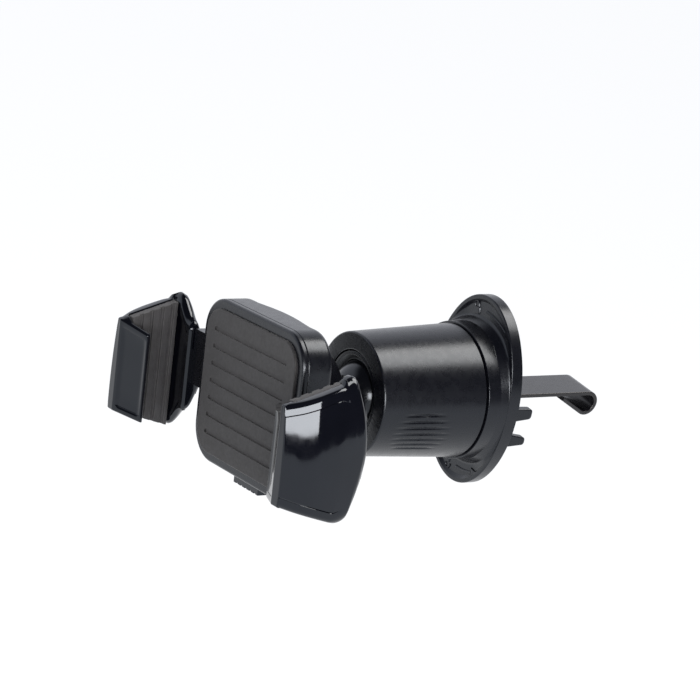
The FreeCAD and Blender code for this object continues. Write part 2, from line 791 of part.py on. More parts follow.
def tongue_limits(prefix):
    """Bottom and top of the arm's tongue inside the grip."""
    if prefix == "right":
        return "arm_centre - tongue_tall", "arm_centre + arm_low_reach"
    return "arm_centre - arm_low_reach", "arm_centre + tongue_tall"


def grip_screw_heights(prefix):
    low, high = tongue_limits(prefix)
    return f"{low} + grip_screw_offset", f"{high} - grip_screw_offset"


def right_arm():
    depth = ("-arm_front", "-arm_rear")
    low = "arm_centre - arm_tall"
    finger_height = (low, "arm_centre - pitch_radius - rack_root")
    finger = block("right_finger", ("-rack_reach", "arm_shoulder + 1"), depth, finger_height)
    wide = block("right_wide", ("arm_shoulder", "arm_neck"), depth, (low, "arm_centre + arm_low_reach"))
    tongue = block("right_tongue", ("arm_neck - 1", "arm_end"), depth, tongue_limits("right"))
    lug = block("right_lug", ("lug_x", "lug_x + lug_wide"), depth, ("-14.4", f"{low} + 0.5"))
    teeth = rack_teeth("right_rack", value("arm_centre - pitch_radius"), True)
    return arm("right", "", [finger, wide, tongue, lug, teeth])


def left_arm():
    depth = ("-arm_front", "-arm_rear")
    high = "arm_centre + arm_tall"
    finger_height = ("arm_centre + pitch_radius + rack_root", high)
    finger = block("left_finger", ("-arm_shoulder - 1", "rack_reach"), depth, finger_height)
    wide = block("left_wide", ("-arm_neck", "-arm_shoulder"), depth, ("arm_centre - arm_low_reach", high))
    tongue = block("left_tongue", ("-arm_end", "1 - arm_neck"), depth, tongue_limits("left"))
    teeth = rack_teeth("left_rack", value("arm_centre + pitch_radius"), False)
    return arm("left", "-", [finger, wide, tongue, teeth])


def sync_pinion():
    """Ten involute teeth, the first pointing up at the left arm's rack."""
    radius, count = value("pitch_radius"), DIMENSIONS["tooth_count"]
    base = radius * math.cos(math.radians(PRESSURE_ANGLE))
    tip, root = radius + value("pinion_tip"), radius - value("pinion_root")

    def involute(r):
        """The involute's polar angle at a radius."""
        roll = math.sqrt(max((r / base) ** 2 - 1, 0))
        return roll - math.atan(roll)

    half_tooth = math.pi / (2 * count) - value("tooth_gap") / (2 * radius)
    reach = [root, base] + [base + (tip - base) * step / 4 for step in range(1, 5)]
    flank = [(r, half_tooth + involute(radius) - involute(r)) for r in reach]
    corners = []
    for tooth in range(count):
        middle = math.pi / 2 + tooth * 2 * math.pi / count
        for side, points in ((-1, flank), (1, flank[::-1])):
            corners += [
                FreeCAD.Vector(r * math.cos(middle + side * turn), 0, r * math.sin(middle + side * turn))
                for r, turn in points
            ]
    outline = Part.Face(Part.makePolygon(corners + corners[:1]))
    gear = outline.extrude(FreeCAD.Vector(0, value("arm_front - arm_rear") - 0.3, 0))
    gear = gear.cut(Part.makeCylinder(1.55, 10, FreeCAD.Vector(0, -1, 0), Y_AXIS))
    pinion = doc.addObject("Part::Feature", "pinion")
    pinion.Shape = gear
    centre = FreeCAD.Vector(0, 0.15 - value("arm_front"), value("arm_centre"))
    return node("sync_pinion", pinion, CRADLE.multiply(FreeCAD.Placement(centre, FreeCAD.Rotation())))


# ---------------------------------------------------------------- grips


def grip_section(prefix, sign):
    """The C-shaped section, seen from above, that wraps one edge of the phone."""
    side = "phone_width / 2 + pad_thick + 0.2"
    points = [
        ("lip_edge", "-73.5"),
        ("36.9", "-grip_front"),
        ("40.3", "0.3 - grip_front"),
        ("41.5", "-73.5"),
        ("41.9", "-67.0"),
        ("41.4", "-60.5"),
        ("39.6", "-grip_rear + 0.3"),
        ("37.5", "-grip_rear"),
        ("30.0", "-grip_rear"),
        ("29.4", "-grip_rear - 0.8"),
        ("29.4", "-61.9"),
        ("30.0", "-62.5"),
        (side, "-62.5"),
        (side, "-74.4"),
        ("34.8", "-74.9"),
        ("lip_edge + 0.4", "-72.2"),
        ("lip_edge", "-72.6"),
    ]
    mirrored = [(f"{sign}({x})", y) for x, y in points]
    return prism(f"{prefix}_section", "XY_Plane", mirrored, "60")


def grip_side(prefix):
    """The grip seen from the side: a low lip that grows towards the back."""
    return prism(f"{prefix}_side", "YZ_Plane", [
        ("-78", "grip_top_front - 0.45"),
        ("-76.5", "grip_top_front"),
        ("-59.5", "grip_top_rear - 0.5"),
        ("-54", "grip_top_rear - 0.5"),
        ("-54", "-grip_low_rear"),
        ("-60.5", "-grip_low_rear"),
        ("-76.5", "-grip_low_front"),
        ("-78", "0.45 - grip_low_front"),
    ], "100")


def sided(sign, near, far):
    """Limits along X, on the right or mirrored to the left."""
    return (near, far) if not sign else (f"-({far})", f"-({near})")


def grip(prefix, sign):
    arc = rod(f"{prefix}_arc", "x", "rear_arc_radius", ("-60", "60"), y="-rear_arc_y", z="-rear_arc_z")
    shell = common(f"{prefix}_shell", grip_section(prefix, sign), grip_side(prefix), arc)
    low, high = tongue_limits(prefix)
    pocket = block(
        f"{prefix}_pocket",
        sided(sign, "28", "arm_end + 0.1"),
        ("-arm_front - 0.05", "0.05 - arm_rear"),
        (f"{low} - 0.05", f"{high} + 0.05"),
    )
    holes = []
    for i, z in enumerate(grip_screw_heights(prefix)):
        place = {"x": f"{sign}grip_screw_x", "z": z}
        holes.append(rod(f"{prefix}_hole_{i}", "y", "1.0", ("-59", "-56"), **place))
        holes.append(rod(f"{prefix}_sink_{i}", "y", "1.7", ("-0.85 - grip_rear", "-56"), **place))
    return cradle_node(f"{prefix}_grip", cut(f"{prefix}_grip_cut", shell, pocket, *holes))


def grip_screws(prefix, sign):
    screws, crosses = [], []
    for i, z in enumerate(grip_screw_heights(prefix)):
        head = ("-0.85 - grip_rear", "-0.25 - grip_rear")
        place = {"x": f"{sign}grip_screw_x", "z": z}
        screws.append(rod(f"{prefix}_screw_{i}", "y", "0.97", ("0.2 - arm_front", head[1]), **place))
        screws.append(rod(f"{prefix}_screw_head_{i}", "y", "1.6", head, **place))
        span = ("-0.6 - grip_rear", "-grip_rear")
        crosses += cross_recess(f"{prefix}_screw_cross_{i}", "1.0", "0.17", span, **place)
    pair = fuse(f"{prefix}_screw_pair", *screws)
    return cradle_node(f"{prefix}_grip_screws", cut(f"{prefix}_crossed", pair, *crosses))


def grip_pad(prefix, sign):
    """Rubber between the phone's edge and the grip, with upright grooves."""
    inner = "phone_width / 2 + 0.15"
    thick = sided(sign, inner, f"{inner} + pad_thick")
    blank = block(f"{prefix}_pad_box", thick, ("-74.2", "-62.7"), ("-30", "30"))
    pad = common(f"{prefix}_pad_trim", blank, grip_side(f"{prefix}_pad"))
    deep = sided(sign, "34", f"{inner} + 0.5")
    grooves = []
    for i in range(4):
        start = f"-72.4 + {i} * 2.6"
        grooves.append(block(f"{prefix}_pad_groove_{i}", deep, (start, f"{start} + 0.9"), ("-30", "30")))
    return cradle_node(f"{prefix}_grip_pad", cut(f"{prefix}_pad", pad, *grooves))


# ---------------------------------------------------------------- release


def release_slider():
    strap = block("strap", ("-3.5", "3.5"), ("-58.2", "-57.0"), ("-16.2", "12.2"))
    head = block("strap_head", ("-3.5", "3.5"), ("-61.0", "-57.0"), ("9.6", "12.2"))
    slot = block(
        "strap_slot", ("-1.65", "1.65"), ("-60", "-55"),
        ("arm_centre - 1.65 - press_travel", "arm_centre + 1.65"),
    )
    return cradle_node("release_slider", cut("slider", fuse("slider_blank", strap, head), slot))


def release_button():
    stem = block("button_stem", ("-button_half", "button_half"), ("-60.9", "-57.2"), ("-button_end", "-16.2"))
    stop = block("button_stop", ("-7", "7"), ("-60.9", "-57.2"), ("-17.1", "-16.2"))
    low = ("-22", "0.35 - button_end")
    grooves = [
        block(f"button_groove_{i}", (f"{x} - 0.3", f"{x} + 0.3"), ("-62", "-56"), low)
        for i, x in enumerate((-4, -2, 0, 2, 4))
    ]
    return cradle_node("release_button", cut("button", fuse("button_blank", stem, stop), *grooves))


def brake_pad():
    pad = block("brake", ("-3", "3"), ("-61.0", "-arm_rear"), ("8.56", "9.6"))
    grooves = [
        block(f"brake_groove_{i}", (f"{x} - 0.25", f"{x} + 0.25"), ("-62", "-57"), ("8", "8.86"))
        for i, x in enumerate((-1.5, 0, 1.5))
    ]
    return cradle_node("brake_pad", cut("brake_cut", pad, *grooves))


vent_flange()
core_tube()
core_screws()
socket_ring()
friction_washer()
lock_knob()
cam_sleeve()
vent_hook()
hook_carrier()
hook_rivets()
follower_pin()
ball_liner()
ball()
ball_stud()
ball_screw()
back_cover()
front_cover()
cover_screws()
phone_pad()
mid_plate()
pinion_pin()
stud_screws()
opening_spring()
release_spring()
right_arm()
left_arm()
sync_pinion()
for prefix, sign in (("right", ""), ("left", "-")):
    grip(prefix, sign)
    grip_screws(prefix, sign)
    grip_pad(prefix, sign)
release_slider()
release_button()
brake_pad()

doc.recompute()
for item in doc.Objects:
    if "Invalid" in item.State or "Error" in item.State:
        raise RuntimeError(f"{item.Name} failed: {item.State}")
os.makedirs("parts", exist_ok=True)
for label, item in nodes.items():
    if item.Shape.isNull() or not item.Shape.isValid():
        raise RuntimeError(f"{label} has no valid shape")
    item.Shape.exportStep(f"parts/{label}.step")
    print(f"{label}: {len(item.Shape.Solids)} solid(s), {item.Shape.Volume:.1f} mm3")
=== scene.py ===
"""Looks of a car phone mount for an air vent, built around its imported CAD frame.

Metres in the row frame: +Y points at the vent, +X to the driver's right, +Z up. Shapes are written
in millimetres. The cradle's pieces are drawn upright and rolled about the barrel's axis.
"""

import json
import math

import bmesh
import bpy
from mathutils import Matrix, Vector
from mathutils.geometry import delaunay_2d_cdt

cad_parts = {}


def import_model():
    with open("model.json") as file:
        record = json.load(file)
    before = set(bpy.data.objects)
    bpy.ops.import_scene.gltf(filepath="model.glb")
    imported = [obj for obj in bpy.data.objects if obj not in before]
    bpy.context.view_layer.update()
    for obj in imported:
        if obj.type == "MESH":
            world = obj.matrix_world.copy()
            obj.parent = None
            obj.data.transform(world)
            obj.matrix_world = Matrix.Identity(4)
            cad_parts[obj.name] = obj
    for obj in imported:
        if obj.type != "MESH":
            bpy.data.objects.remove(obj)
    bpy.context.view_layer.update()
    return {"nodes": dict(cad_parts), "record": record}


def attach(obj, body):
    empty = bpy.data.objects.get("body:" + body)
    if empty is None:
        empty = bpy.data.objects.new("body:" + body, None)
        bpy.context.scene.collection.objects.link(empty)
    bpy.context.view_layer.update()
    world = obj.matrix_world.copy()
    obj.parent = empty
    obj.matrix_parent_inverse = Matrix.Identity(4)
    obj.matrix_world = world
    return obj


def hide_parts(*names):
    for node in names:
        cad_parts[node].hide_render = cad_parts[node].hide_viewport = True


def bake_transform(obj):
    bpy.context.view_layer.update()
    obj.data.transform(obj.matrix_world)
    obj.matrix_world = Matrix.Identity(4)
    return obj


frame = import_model()

MM = 0.001
UPRIGHT = Matrix.Identity(4)
ROLL = Matrix.Rotation(math.radians(-9.2), 4, "Y")
MIRROR = Matrix.Scale(-1, 4, (1, 0, 0))

# ---------------------------------------------------------------- materials


class Graph:
    """A material's node tree with short ways to add and join nodes."""

    def __init__(self, name):
        self.material = bpy.data.materials.new(name)
        self.material.use_nodes = True
        self.nodes = self.material.node_tree.nodes
        self.links = self.material.node_tree.links
        self.shader = self.nodes["Principled BSDF"]
        self.place = self.nodes.new("ShaderNodeTexCoord").outputs["Object"]

    def noise(self, size_mm, detail=3.0, roughness=0.5, stretch=(1, 1, 1)):
        """Noise with features of about a size, in object space."""
        mapping = self.nodes.new("ShaderNodeMapping")
        mapping.inputs["Scale"].default_value = stretch
        self.links.new(self.place, mapping.inputs["Vector"])
        noise = self.nodes.new("ShaderNodeTexNoise")
        noise.inputs["Scale"].default_value = 1 / (size_mm * MM)
        noise.inputs["Detail"].default_value = detail
        noise.inputs["Roughness"].default_value = roughness
        self.links.new(mapping.outputs["Vector"], noise.inputs["Vector"])
        return noise.outputs["Fac"]

    def between(self, source, low, high, start=0.3, end=0.7):
        """Map a noise to a range of numbers."""
        ranged = self.nodes.new("ShaderNodeMapRange")
        ranged.inputs["From Min"].default_value = start
        ranged.inputs["From Max"].default_value = end
        ranged.inputs["To Min"].default_value = low
        ranged.inputs["To Max"].default_value = high
        self.links.new(source, ranged.inputs["Value"])
        return ranged.outputs["Result"]

    def tint(self, source, dark, light):
        """Map a noise to a range of colours."""
        ramp = self.nodes.new("ShaderNodeValToRGB")
        ramp.color_ramp.elements[0].position = 0.35
        ramp.color_ramp.elements[0].color = (*dark, 1)
        ramp.color_ramp.elements[1].position = 0.65
        ramp.color_ramp.elements[1].color = (*light, 1)
        self.links.new(source, ramp.inputs["Fac"])
        return ramp.outputs["Color"]

    def bump(self, source, height_mm, under=None):
        """Raise the surface by a noise, on top of another bump if there is one."""
        bump = self.nodes.new("ShaderNodeBump")
        bump.inputs["Strength"].default_value = 1
        bump.inputs["Distance"].default_value = height_mm * MM
        self.links.new(source, bump.inputs["Height"])
        if under:
            self.links.new(under, bump.inputs["Normal"])
        return bump.outputs["Normal"]

    def set(self, socket, source):
        """Feed a socket of the shader from a node, or set it."""
        if isinstance(source, bpy.types.NodeSocket):
            self.links.new(source, self.shader.inputs[socket])
        else:
            self.shader.inputs[socket].default_value = source


COOL_SHEEN = (0.84, 0.91, 1.0, 1.0)


def plastic(name, dark, light, rough, grain, ior=1.46):
    """Moulded plastic: spark-eroded grain, faint mottling and an uneven sheen."""
    graph = Graph(name)
    graph.set("Base Color", graph.tint(graph.noise(6), dark, light))
    graph.set("Roughness", graph.between(graph.noise(1.6, 4), *rough))
    graph.set("IOR", ior)
    graph.set("Specular Tint", COOL_SHEEN)
    size, height = grain
    fine = graph.bump(graph.noise(size, 2.0, 0.5), height)
    graph.set("Normal", graph.bump(graph.noise(size * 3.5, 2.0), height, fine))
    return graph.material


def lacquer(name, dark, light):
    """Polished piano black: near mirror, with the faintest waviness and rubbed haze."""
    graph = Graph(name)
    graph.set("Base Color", graph.tint(graph.noise(9), dark, light))
    graph.set("Roughness", graph.between(graph.noise(2.4, 6), 0.045, 0.085))
    graph.set("IOR", 1.5)
    graph.set("Specular Tint", COOL_SHEEN)
    graph.set("Normal", graph.bump(graph.noise(5, 1), 0.0025))
    return graph.material


def metal(name, dark, light, rough, streak, height):
    """Plated or drawn metal: mottled tone and fine draw lines along one axis."""
    graph = Graph(name)
    graph.set("Metallic", 1.0)
    graph.set("Base Color", graph.tint(graph.noise(0.9, 4), dark, light))
    graph.set("Roughness", graph.between(graph.noise(0.5, 4), *rough))
    graph.set("Normal", graph.bump(graph.noise(0.25, 3, stretch=streak), height))
    return graph.material


def rubber(name, dark, light, rough):
    """Silicone: matt, soft pores and a little dusty sheen."""
    graph = Graph(name)
    graph.set("Base Color", graph.tint(graph.noise(2.5, 5), dark, light))
    graph.set("Roughness", graph.between(graph.noise(0.8, 4), *rough))
    graph.set("IOR", 1.42)
    graph.set("Sheen Weight", 0.12)
    graph.set("Sheen Roughness", 0.5)
    graph.set("Normal", graph.bump(graph.noise(0.3, 3, 0.7), 0.012))
    return graph.material


def enamel(name):
    """Electrocoated steel strip: smooth, with orange peel and a satin gleam."""
    graph = Graph(name)
    graph.set("Base Color", graph.tint(graph.noise(4), (0.004, 0.004, 0.0055), (0.006, 0.006, 0.0075)))
    graph.set("Roughness", graph.between(graph.noise(1.2, 4), 0.2, 0.3))
    graph.set("IOR", 1.5)
    graph.set("Normal", graph.bump(graph.noise(1.1, 2), 0.0025))
    return graph.material


MATERIALS = {
    "satin_black": plastic(
        "satin_black", (0.0018, 0.002, 0.0034), (0.0026, 0.0028, 0.0046), (0.25, 0.31), (0.32, 0.005)
    ),
    "piano_black": lacquer("piano_black", (0.0015, 0.0017, 0.003), (0.002, 0.0022, 0.0038)),
    "ball_black": plastic(
        "ball_black", (0.0018, 0.002, 0.003), (0.0026, 0.0028, 0.004), (0.16, 0.22), (0.5, 0.001), 1.5
    ),
    "acetal": plastic("acetal", (0.012, 0.012, 0.014), (0.016, 0.016, 0.018), (0.3, 0.4), (0.5, 0.006)),
    "black_steel": enamel("black_steel"),
    "zinc_steel": metal(
        "zinc_steel", (0.42, 0.42, 0.45), (0.58, 0.58, 0.6), (0.25, 0.42), (1, 1, 1), 0.004
    ),
    "spring_steel": metal(
        "spring_steel", (0.38, 0.38, 0.4), (0.5, 0.5, 0.5), (0.22, 0.34), (1, 0.2, 1), 0.004
    ),
    "grip_rubber": rubber("grip_rubber", (0.02, 0.02, 0.022), (0.027, 0.027, 0.03), (0.55, 0.7)),
    "soft_rubber": rubber("soft_rubber", (0.011, 0.011, 0.0125), (0.015, 0.015, 0.017), (0.6, 0.75)),
}

# ---------------------------------------------------------------- mesh helpers


def rounded(corners, closed=True, steps=5):
    """Points along straight runs; each corner (x, y, radius) is replaced by an arc."""
    points = []
    for i, (x, y, radius) in enumerate(corners):
        here = Vector((x, y))
        if not radius or (not closed and i in (0, len(corners) - 1)):
            points.append(here)
            continue
        back = (Vector(corners[i - 1][:2]) - here).normalized()
        ahead = (Vector(corners[(i + 1) % len(corners)][:2]) - here).normalized()
        half = back.angle(ahead) / 2
        if half > math.radians(89.5):  # nearly straight, so it only keeps its count of points
            points += [here + (ahead - back) * 0.01 * (k / steps - 0.5) for k in range(steps + 1)]
            continue
        centre = here + (back + ahead).normalized() * radius / math.sin(half)
        start = here + back * radius / math.tan(half) - centre
        end = here + ahead * radius / math.tan(half) - centre
        turn = math.atan2(start.x * end.y - start.y * end.x, start.dot(end))
        points += [centre + Matrix.Rotation(turn * k / steps, 2) @ start for k in range(steps + 1)]
    return points


def loft(bm, rings, loop=False, caps=False):
    """Skin rings of equal count; loop joins the last to the first and caps close both ends."""
    rows = [[bm.verts.new(point) for point in ring] for ring in rings]
    for low, high in list(zip(rows, rows[1:])) + ([(rows[-1], rows[0])] if loop else []):
        for i, corner in enumerate(low):
            j = (i + 1) % len(low)
            bm.faces.new((corner, low[j], high[j], high[i]))
    if caps:
        bm.faces.new(rows[0])
        bm.faces.new(rows[-1])
    return bm


def prism_rings(outline, depths):
    """Rings of an outline in (x, z) at depths along Y."""
    return [[Vector((x, y, z)) for x, z in outline] for y in depths]


def circle(radius, y, angles):
    """A ring about the barrel's axis; angles run from +X towards +Z."""
    return [Vector((radius * math.cos(a), y, radius * math.sin(a))) for a in angles]


def even_angles(count):
    """Angles in radians spread over a full turn."""
    return [2 * math.pi * k / count for k in range(count)]


def lathe(corners, count=144, steps=5, centre=(0, 0)):
    """A ring-shaped solid of revolution about Y from rounded (radius, y) corners."""
    angles = even_angles(count)
    shift = Vector((centre[0], 0, centre[1]))
    rings = [[p + shift for p in circle(point.x, point.y, angles)] for point in rounded(corners, steps=steps)]
    return loft(bmesh.new(), rings, loop=True)


def capped_lathe(corners, count=64, steps=4, centre=(0, 0)):
    """A solid of revolution about Y, closed flat at both ends."""
    angles = even_angles(count)
    shift = Vector((centre[0], 0, centre[1]))
    path = rounded(corners, closed=False, steps=steps)
    return loft(bmesh.new(), [[p + shift for p in circle(q.x, q.y, angles)] for q in path], caps=True)


def block(x, y, z):
    """A box between limits, for cutting."""
    outline = [(x[0], z[0]), (x[1], z[0]), (x[1], z[1]), (x[0], z[1])]
    return loft(bmesh.new(), prism_rings(outline, y), caps=True)


def rounded_box_ring(half_wide, half_high, corner, y, inset=0.0, per_corner=14, per_side=10):
    """A rounded rectangle about Y as evenly matched points."""
    wide, high = half_wide - inset, half_high - inset
    radius = max(corner - inset, 0.05)
    points = []
    for quarter, (sx, sz) in enumerate(((1, 1), (-1, 1), (-1, -1), (1, -1))):
        centre = Vector((sx * (wide - radius), sz * (high - radius)))
        for k in range(per_corner + 1):
            angle = (quarter + k / per_corner) * math.pi / 2
            points.append(centre + radius * Vector((math.cos(angle), math.sin(angle))))
        sx, sz = ((-1, 1), (-1, -1), (1, -1), (1, 1))[quarter]
        following = Vector((sx * (wide - radius), sz * (high - radius)))
        angle = (quarter + 1) * math.pi / 2
        end = following + radius * Vector((math.cos(angle), math.sin(angle)))
        start = points[-1]
        points += [start.lerp(end, k / per_side) for k in range(1, per_side)]
    return [Vector((p.x, y, p.y)) for p in points]


def smoothstep(value):
    """A number from 0 to 1 that starts and ends level, as the value goes from 0 to 1."""
    t = min(max(value, 0.0), 1.0)
    return t * t * (3 - 2 * t)


def mesh_from(bm, name, placed=UPRIGHT):
    """Finish a bmesh written in millimetres."""
    bmesh.ops.recalc_face_normals(bm, faces=bm.faces)
    mesh = bpy.data.meshes.new(name)
    bm.to_mesh(mesh)
    bm.free()
    mesh.transform(placed @ Matrix.Scale(MM, 4))
    if placed.determinant() < 0:
        mesh.flip_normals()
    return mesh


def carve(mesh, *cutters, placed=UPRIGHT):
    """Cut solids from a mesh."""
    target = bpy.data.objects.new("carved", mesh)
    bpy.context.scene.collection.objects.link(target)
    tools = []
    for cutter in cutters:
        tool = bpy.data.objects.new("cutter", mesh_from(cutter, "cutter", placed))
        bpy.context.scene.collection.objects.link(tool)
        tools.append(tool)
        modifier = target.modifiers.new("cut", "BOOLEAN")
        modifier.operation = "DIFFERENCE"
        modifier.solver = "EXACT"
        modifier.object = tool
    bpy.context.view_layer.update()
    result = bpy.data.meshes.new_from_object(target.evaluated_get(bpy.context.evaluated_depsgraph_get()))
    for thing in (target, *tools):
        bpy.data.objects.remove(thing)
    return result


def piece(name, mesh, body, slot, *stands_for, sharp=38.0, bevel=0.0):
    """Show a mesh as a piece that stands for CAD nodes and rides on a body, if one is given."""
    mesh.name = name
    mesh.materials.clear()
    mesh.materials.append(MATERIALS[slot])
    mesh.polygons.foreach_set("use_smooth", [True] * len(mesh.polygons))
    mesh.polygons.foreach_set("material_index", [0] * len(mesh.polygons))
    mesh.set_sharp_from_angle(angle=math.radians(sharp))
    thing = bpy.data.objects.new(name, mesh)
    bpy.context.scene.collection.objects.link(thing)
    if bevel:
        modifier = thing.modifiers.new("edges", "BEVEL")
        modifier.width = bevel * MM
        modifier.segments = 3
        modifier.limit_method = "ANGLE"
        modifier.angle_limit = math.radians(40)
        modifier.harden_normals = False
    thing.modifiers.new("even_normals", "WEIGHTED_NORMAL").keep_sharp = True
    if body:
        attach(thing, body)
    if stands_for:
        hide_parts(*stands_for)
    return thing


# ---------------------------------------------------------------- lock knob

KNOB_FRONT, KNOB_REAR = -35.85, -8.84
KNOB_FRONT_RADIUS, KNOB_REAR_RADIUS = 14.26, 15.63
RIB_COUNT, RIB_STEP, RIB_FIRST = 7, 6.4, 3.2
RIB_PATCH, RIB_MIDDLE, RIB_DEPTH, RIB_HALF = 7.6, -24.3, 0.3, 0.42
KNOB_BORE, KNOB_MOUTH, MOUTH_DEPTH = 13.3, 10.15, 2.1
WALL_ROWS, WALL_ROW = 43, 0.62


def knob_radius(y):
    """The tapered barrel's radius at a depth."""
    share = (y - KNOB_FRONT) / (KNOB_REAR - KNOB_FRONT)
    return KNOB_FRONT_RADIUS + (KNOB_REAR_RADIUS - KNOB_FRONT_RADIUS) * share


def rib_angles():
    """Every groove's angle in degrees with its distance from its group's middle."""
    for group in range(2):
        for index in range(RIB_COUNT):
            yield RIB_FIRST - index * RIB_STEP + group * 180, (index - (RIB_COUNT - 1) / 2) * RIB_STEP


def rib_depth(angle, y):
    """How deep the finger grooves are at a place on the barrel."""
    radius = knob_radius(y)
    for centre, from_middle in rib_angles():
        across = abs(math.remainder(angle - math.radians(centre), 2 * math.pi)) * radius
        half = math.sqrt(RIB_PATCH**2 - (radius * math.radians(from_middle)) ** 2)
        along = abs(y - RIB_MIDDLE) / half
        if across < RIB_HALF and along < 1:
            return RIB_DEPTH * (1 - along**2) * (1 - (across / RIB_HALF) ** 2)
    return 0.0


def lock_knob():
    """The tapered barrel, open at the front, with finger grooves on two sides."""
    radius = knob_radius(RIB_MIDDLE)
    near = [math.radians(centre) % (2 * math.pi) for centre, _ in rib_angles()]
    offsets = [k * RIB_HALF / 3 / radius for k in range(-4, 5)]
    clear = 1.5 * RIB_HALF / radius
    angles = [
        a for a in even_angles(240)
        if all(abs(math.remainder(a - n, 2 * math.pi)) > clear for n in near)
    ]
    angles = sorted(angles + [(n + o) % (2 * math.pi) for n in near for o in offsets])
    wall = [(knob_radius(y), y, 0) for y in (KNOB_REAR - 0.3 - k * WALL_ROW for k in range(WALL_ROWS))]
    path = rounded([
        (KNOB_BORE, KNOB_REAR, 0.15),
        (KNOB_REAR_RADIUS, KNOB_REAR, 0.12),
        *wall,
        (KNOB_FRONT_RADIUS, KNOB_FRONT, 0.45),
        (KNOB_MOUTH, KNOB_FRONT, 0.3),
        (KNOB_MOUTH, KNOB_FRONT + MOUTH_DEPTH, 0.1),
        (KNOB_BORE, KNOB_FRONT + MOUTH_DEPTH, 0.1),
    ])
    rings = []
    for point in path:
        on_wall = point.x > KNOB_BORE + 0.6
        rings.append([
            Vector((r * math.cos(a), point.y, r * math.sin(a)))
            for a in angles
            for r in [point.x - (rib_depth(a, point.y) if on_wall else 0)]
        ])
    mesh = mesh_from(loft(bmesh.new(), rings, loop=True), "lock_knob")
    piece("lock_knob_grip", mesh, "knob", "satin_black", "lock_knob", sharp=50)


# ---------------------------------------------------------------- flange

OVAL_X, OVAL_Z, PLATE = 16.2, 23.1, 3.0
COLLAR, COLLAR_BORE, COLLAR_FRONT = 16.1, 13.75, -8.5
POCKET_DEPTH, POCKET_RIM = 0.6, 1.0
POCKET_FLOOR = -PLATE + POCKET_DEPTH
MARK_HEIGHT, MARK_ROOT = 0.3, 0.2
SCREW_Z = 9.1


def oval_radius(angle, inset=0.0):
    """The flange outline's distance from the axis."""
    a, b = OVAL_X - inset, OVAL_Z - inset
    return a * b / math.hypot(b * math.cos(angle), a * math.sin(angle))


def flange_section(angle):
    """Corners (radius, y, fillet) from the collar's bore over the front and round to the back."""
    edge = oval_radius(angle)
    room = edge - COLLAR
    inner = oval_radius(angle, POCKET_RIM)
    pocket = smoothstep((inner - COLLAR - 1.4) / 3.0)
    floor = -PLATE + POCKET_DEPTH * pocket
    flare = min(1.3, 0.45 * room)
    rim = max(inner, COLLAR + flare + 0.4 * (room - flare))
    edge_fillet = min(0.4, 0.3 * (edge - rim))
    wall = min(0.8, 0.3 * (rim - COLLAR - flare))
    return [
        (COLLAR_BORE, -1.5, 0.3),
        (COLLAR_BORE, COLLAR_FRONT, 0.2),
        (COLLAR, COLLAR_FRONT, 0.12),
        (COLLAR + 0.02, floor - 2.2, 0.5),
        (COLLAR + flare, floor, min(1.6, 0.8 * flare)),
        (rim - wall, floor, 0.6 * wall),
        (rim, -PLATE, min(0.15, 0.3 * (edge - rim))),
        (edge, -PLATE, edge_fillet),
        (edge, 0, edge_fillet),
        (COLLAR_BORE - 1, 0, 0),
    ]


def emboss(bm, outline):
    """A raised mark with sloped sides on a pocket's floor, from an outline in (x, z)."""
    rings = prism_rings(outline, (POCKET_FLOOR + MARK_ROOT, POCKET_FLOOR))
    centre = sum(outline, Vector((0, 0))) / len(outline)
    for inset, height in ((0.06, 0.45), (0.18, 0.85), (0.34, 1.0)):
        drawn = [point + (centre - point).normalized() * inset for point in outline]
        rings += prism_rings(drawn, [POCKET_FLOOR - MARK_HEIGHT * height])
    loft(bm, rings, caps=True)


def emboss_strip(bm, line, half):
    """A raised round-topped line of even width along points in (x, z)."""
    root = POCKET_FLOOR + MARK_ROOT
    rings = []
    for i, point in enumerate(line):
        ahead = (line[min(i + 1, len(line) - 1)] - line[max(i - 1, 0)]).normalized()
        side = Vector((-ahead.y, ahead.x)) * half
        section = [(1, root), (1, POCKET_FLOOR)]
        for k in range(1, 6):
            angle = math.pi * k / 6
            section.append((math.cos(angle), POCKET_FLOOR - MARK_HEIGHT * math.sin(angle)))
        section += [(-1, POCKET_FLOOR), (-1, root)]
        rings.append([Vector((p.x, y, p.y)) for across, y in section for p in [point + side * across]])
    loft(bm, rings, caps=True)


def polar(radius, degrees):
    """A point in (x, z) at a distance from the axis."""
    angle = math.radians(degrees)
    return Vector((radius * math.cos(angle), radius * math.sin(angle)))


def turn_arrow(bm, radius, start, end):
    """A thin curved arrow about the barrel's axis, between two angles in degrees."""
    count = 24
    emboss_strip(bm, [polar(radius, start + (end - start) * k / count) for k in range(count + 1)], 0.32)
    tip = polar(radius, end + math.copysign(6, end - start))
    base_in, base_out = polar(radius - 1.1, end), polar(radius + 1.1, end)
    emboss(bm, [tip, base_in, base_out])


def padlock(bm, radius, degrees, is_open):
    """A small padlock pictogram whose top points away from the axis."""
    up = polar(1, degrees)
    across = Vector((up.y, -up.x))
    middle = polar(radius, degrees)
    corners = [(-1.3, -1.5, 0.3), (1.3, -1.5, 0.3), (1.3, 0.4, 0.3), (-1.3, 0.4, 0.3)]
    body = rounded(corners, steps=3)
    emboss(bm, [middle + across * p.x + up * p.y for p in body])
    swing = 1.0 if is_open else 0.0
    bow = [Vector((-0.8, 0.4)), Vector((-0.8, 0.8))]
    for k in range(9):
        angle = k * math.pi / 8
        bow.append(Vector((-0.8 * math.cos(angle), 0.9 + 0.8 * math.sin(angle))))
    bow += [Vector((0.8, 0.85 if is_open else 0.4))]
    emboss_strip(bm, [middle + across * (p.x - swing) + up * p.y for p in bow], 0.24)


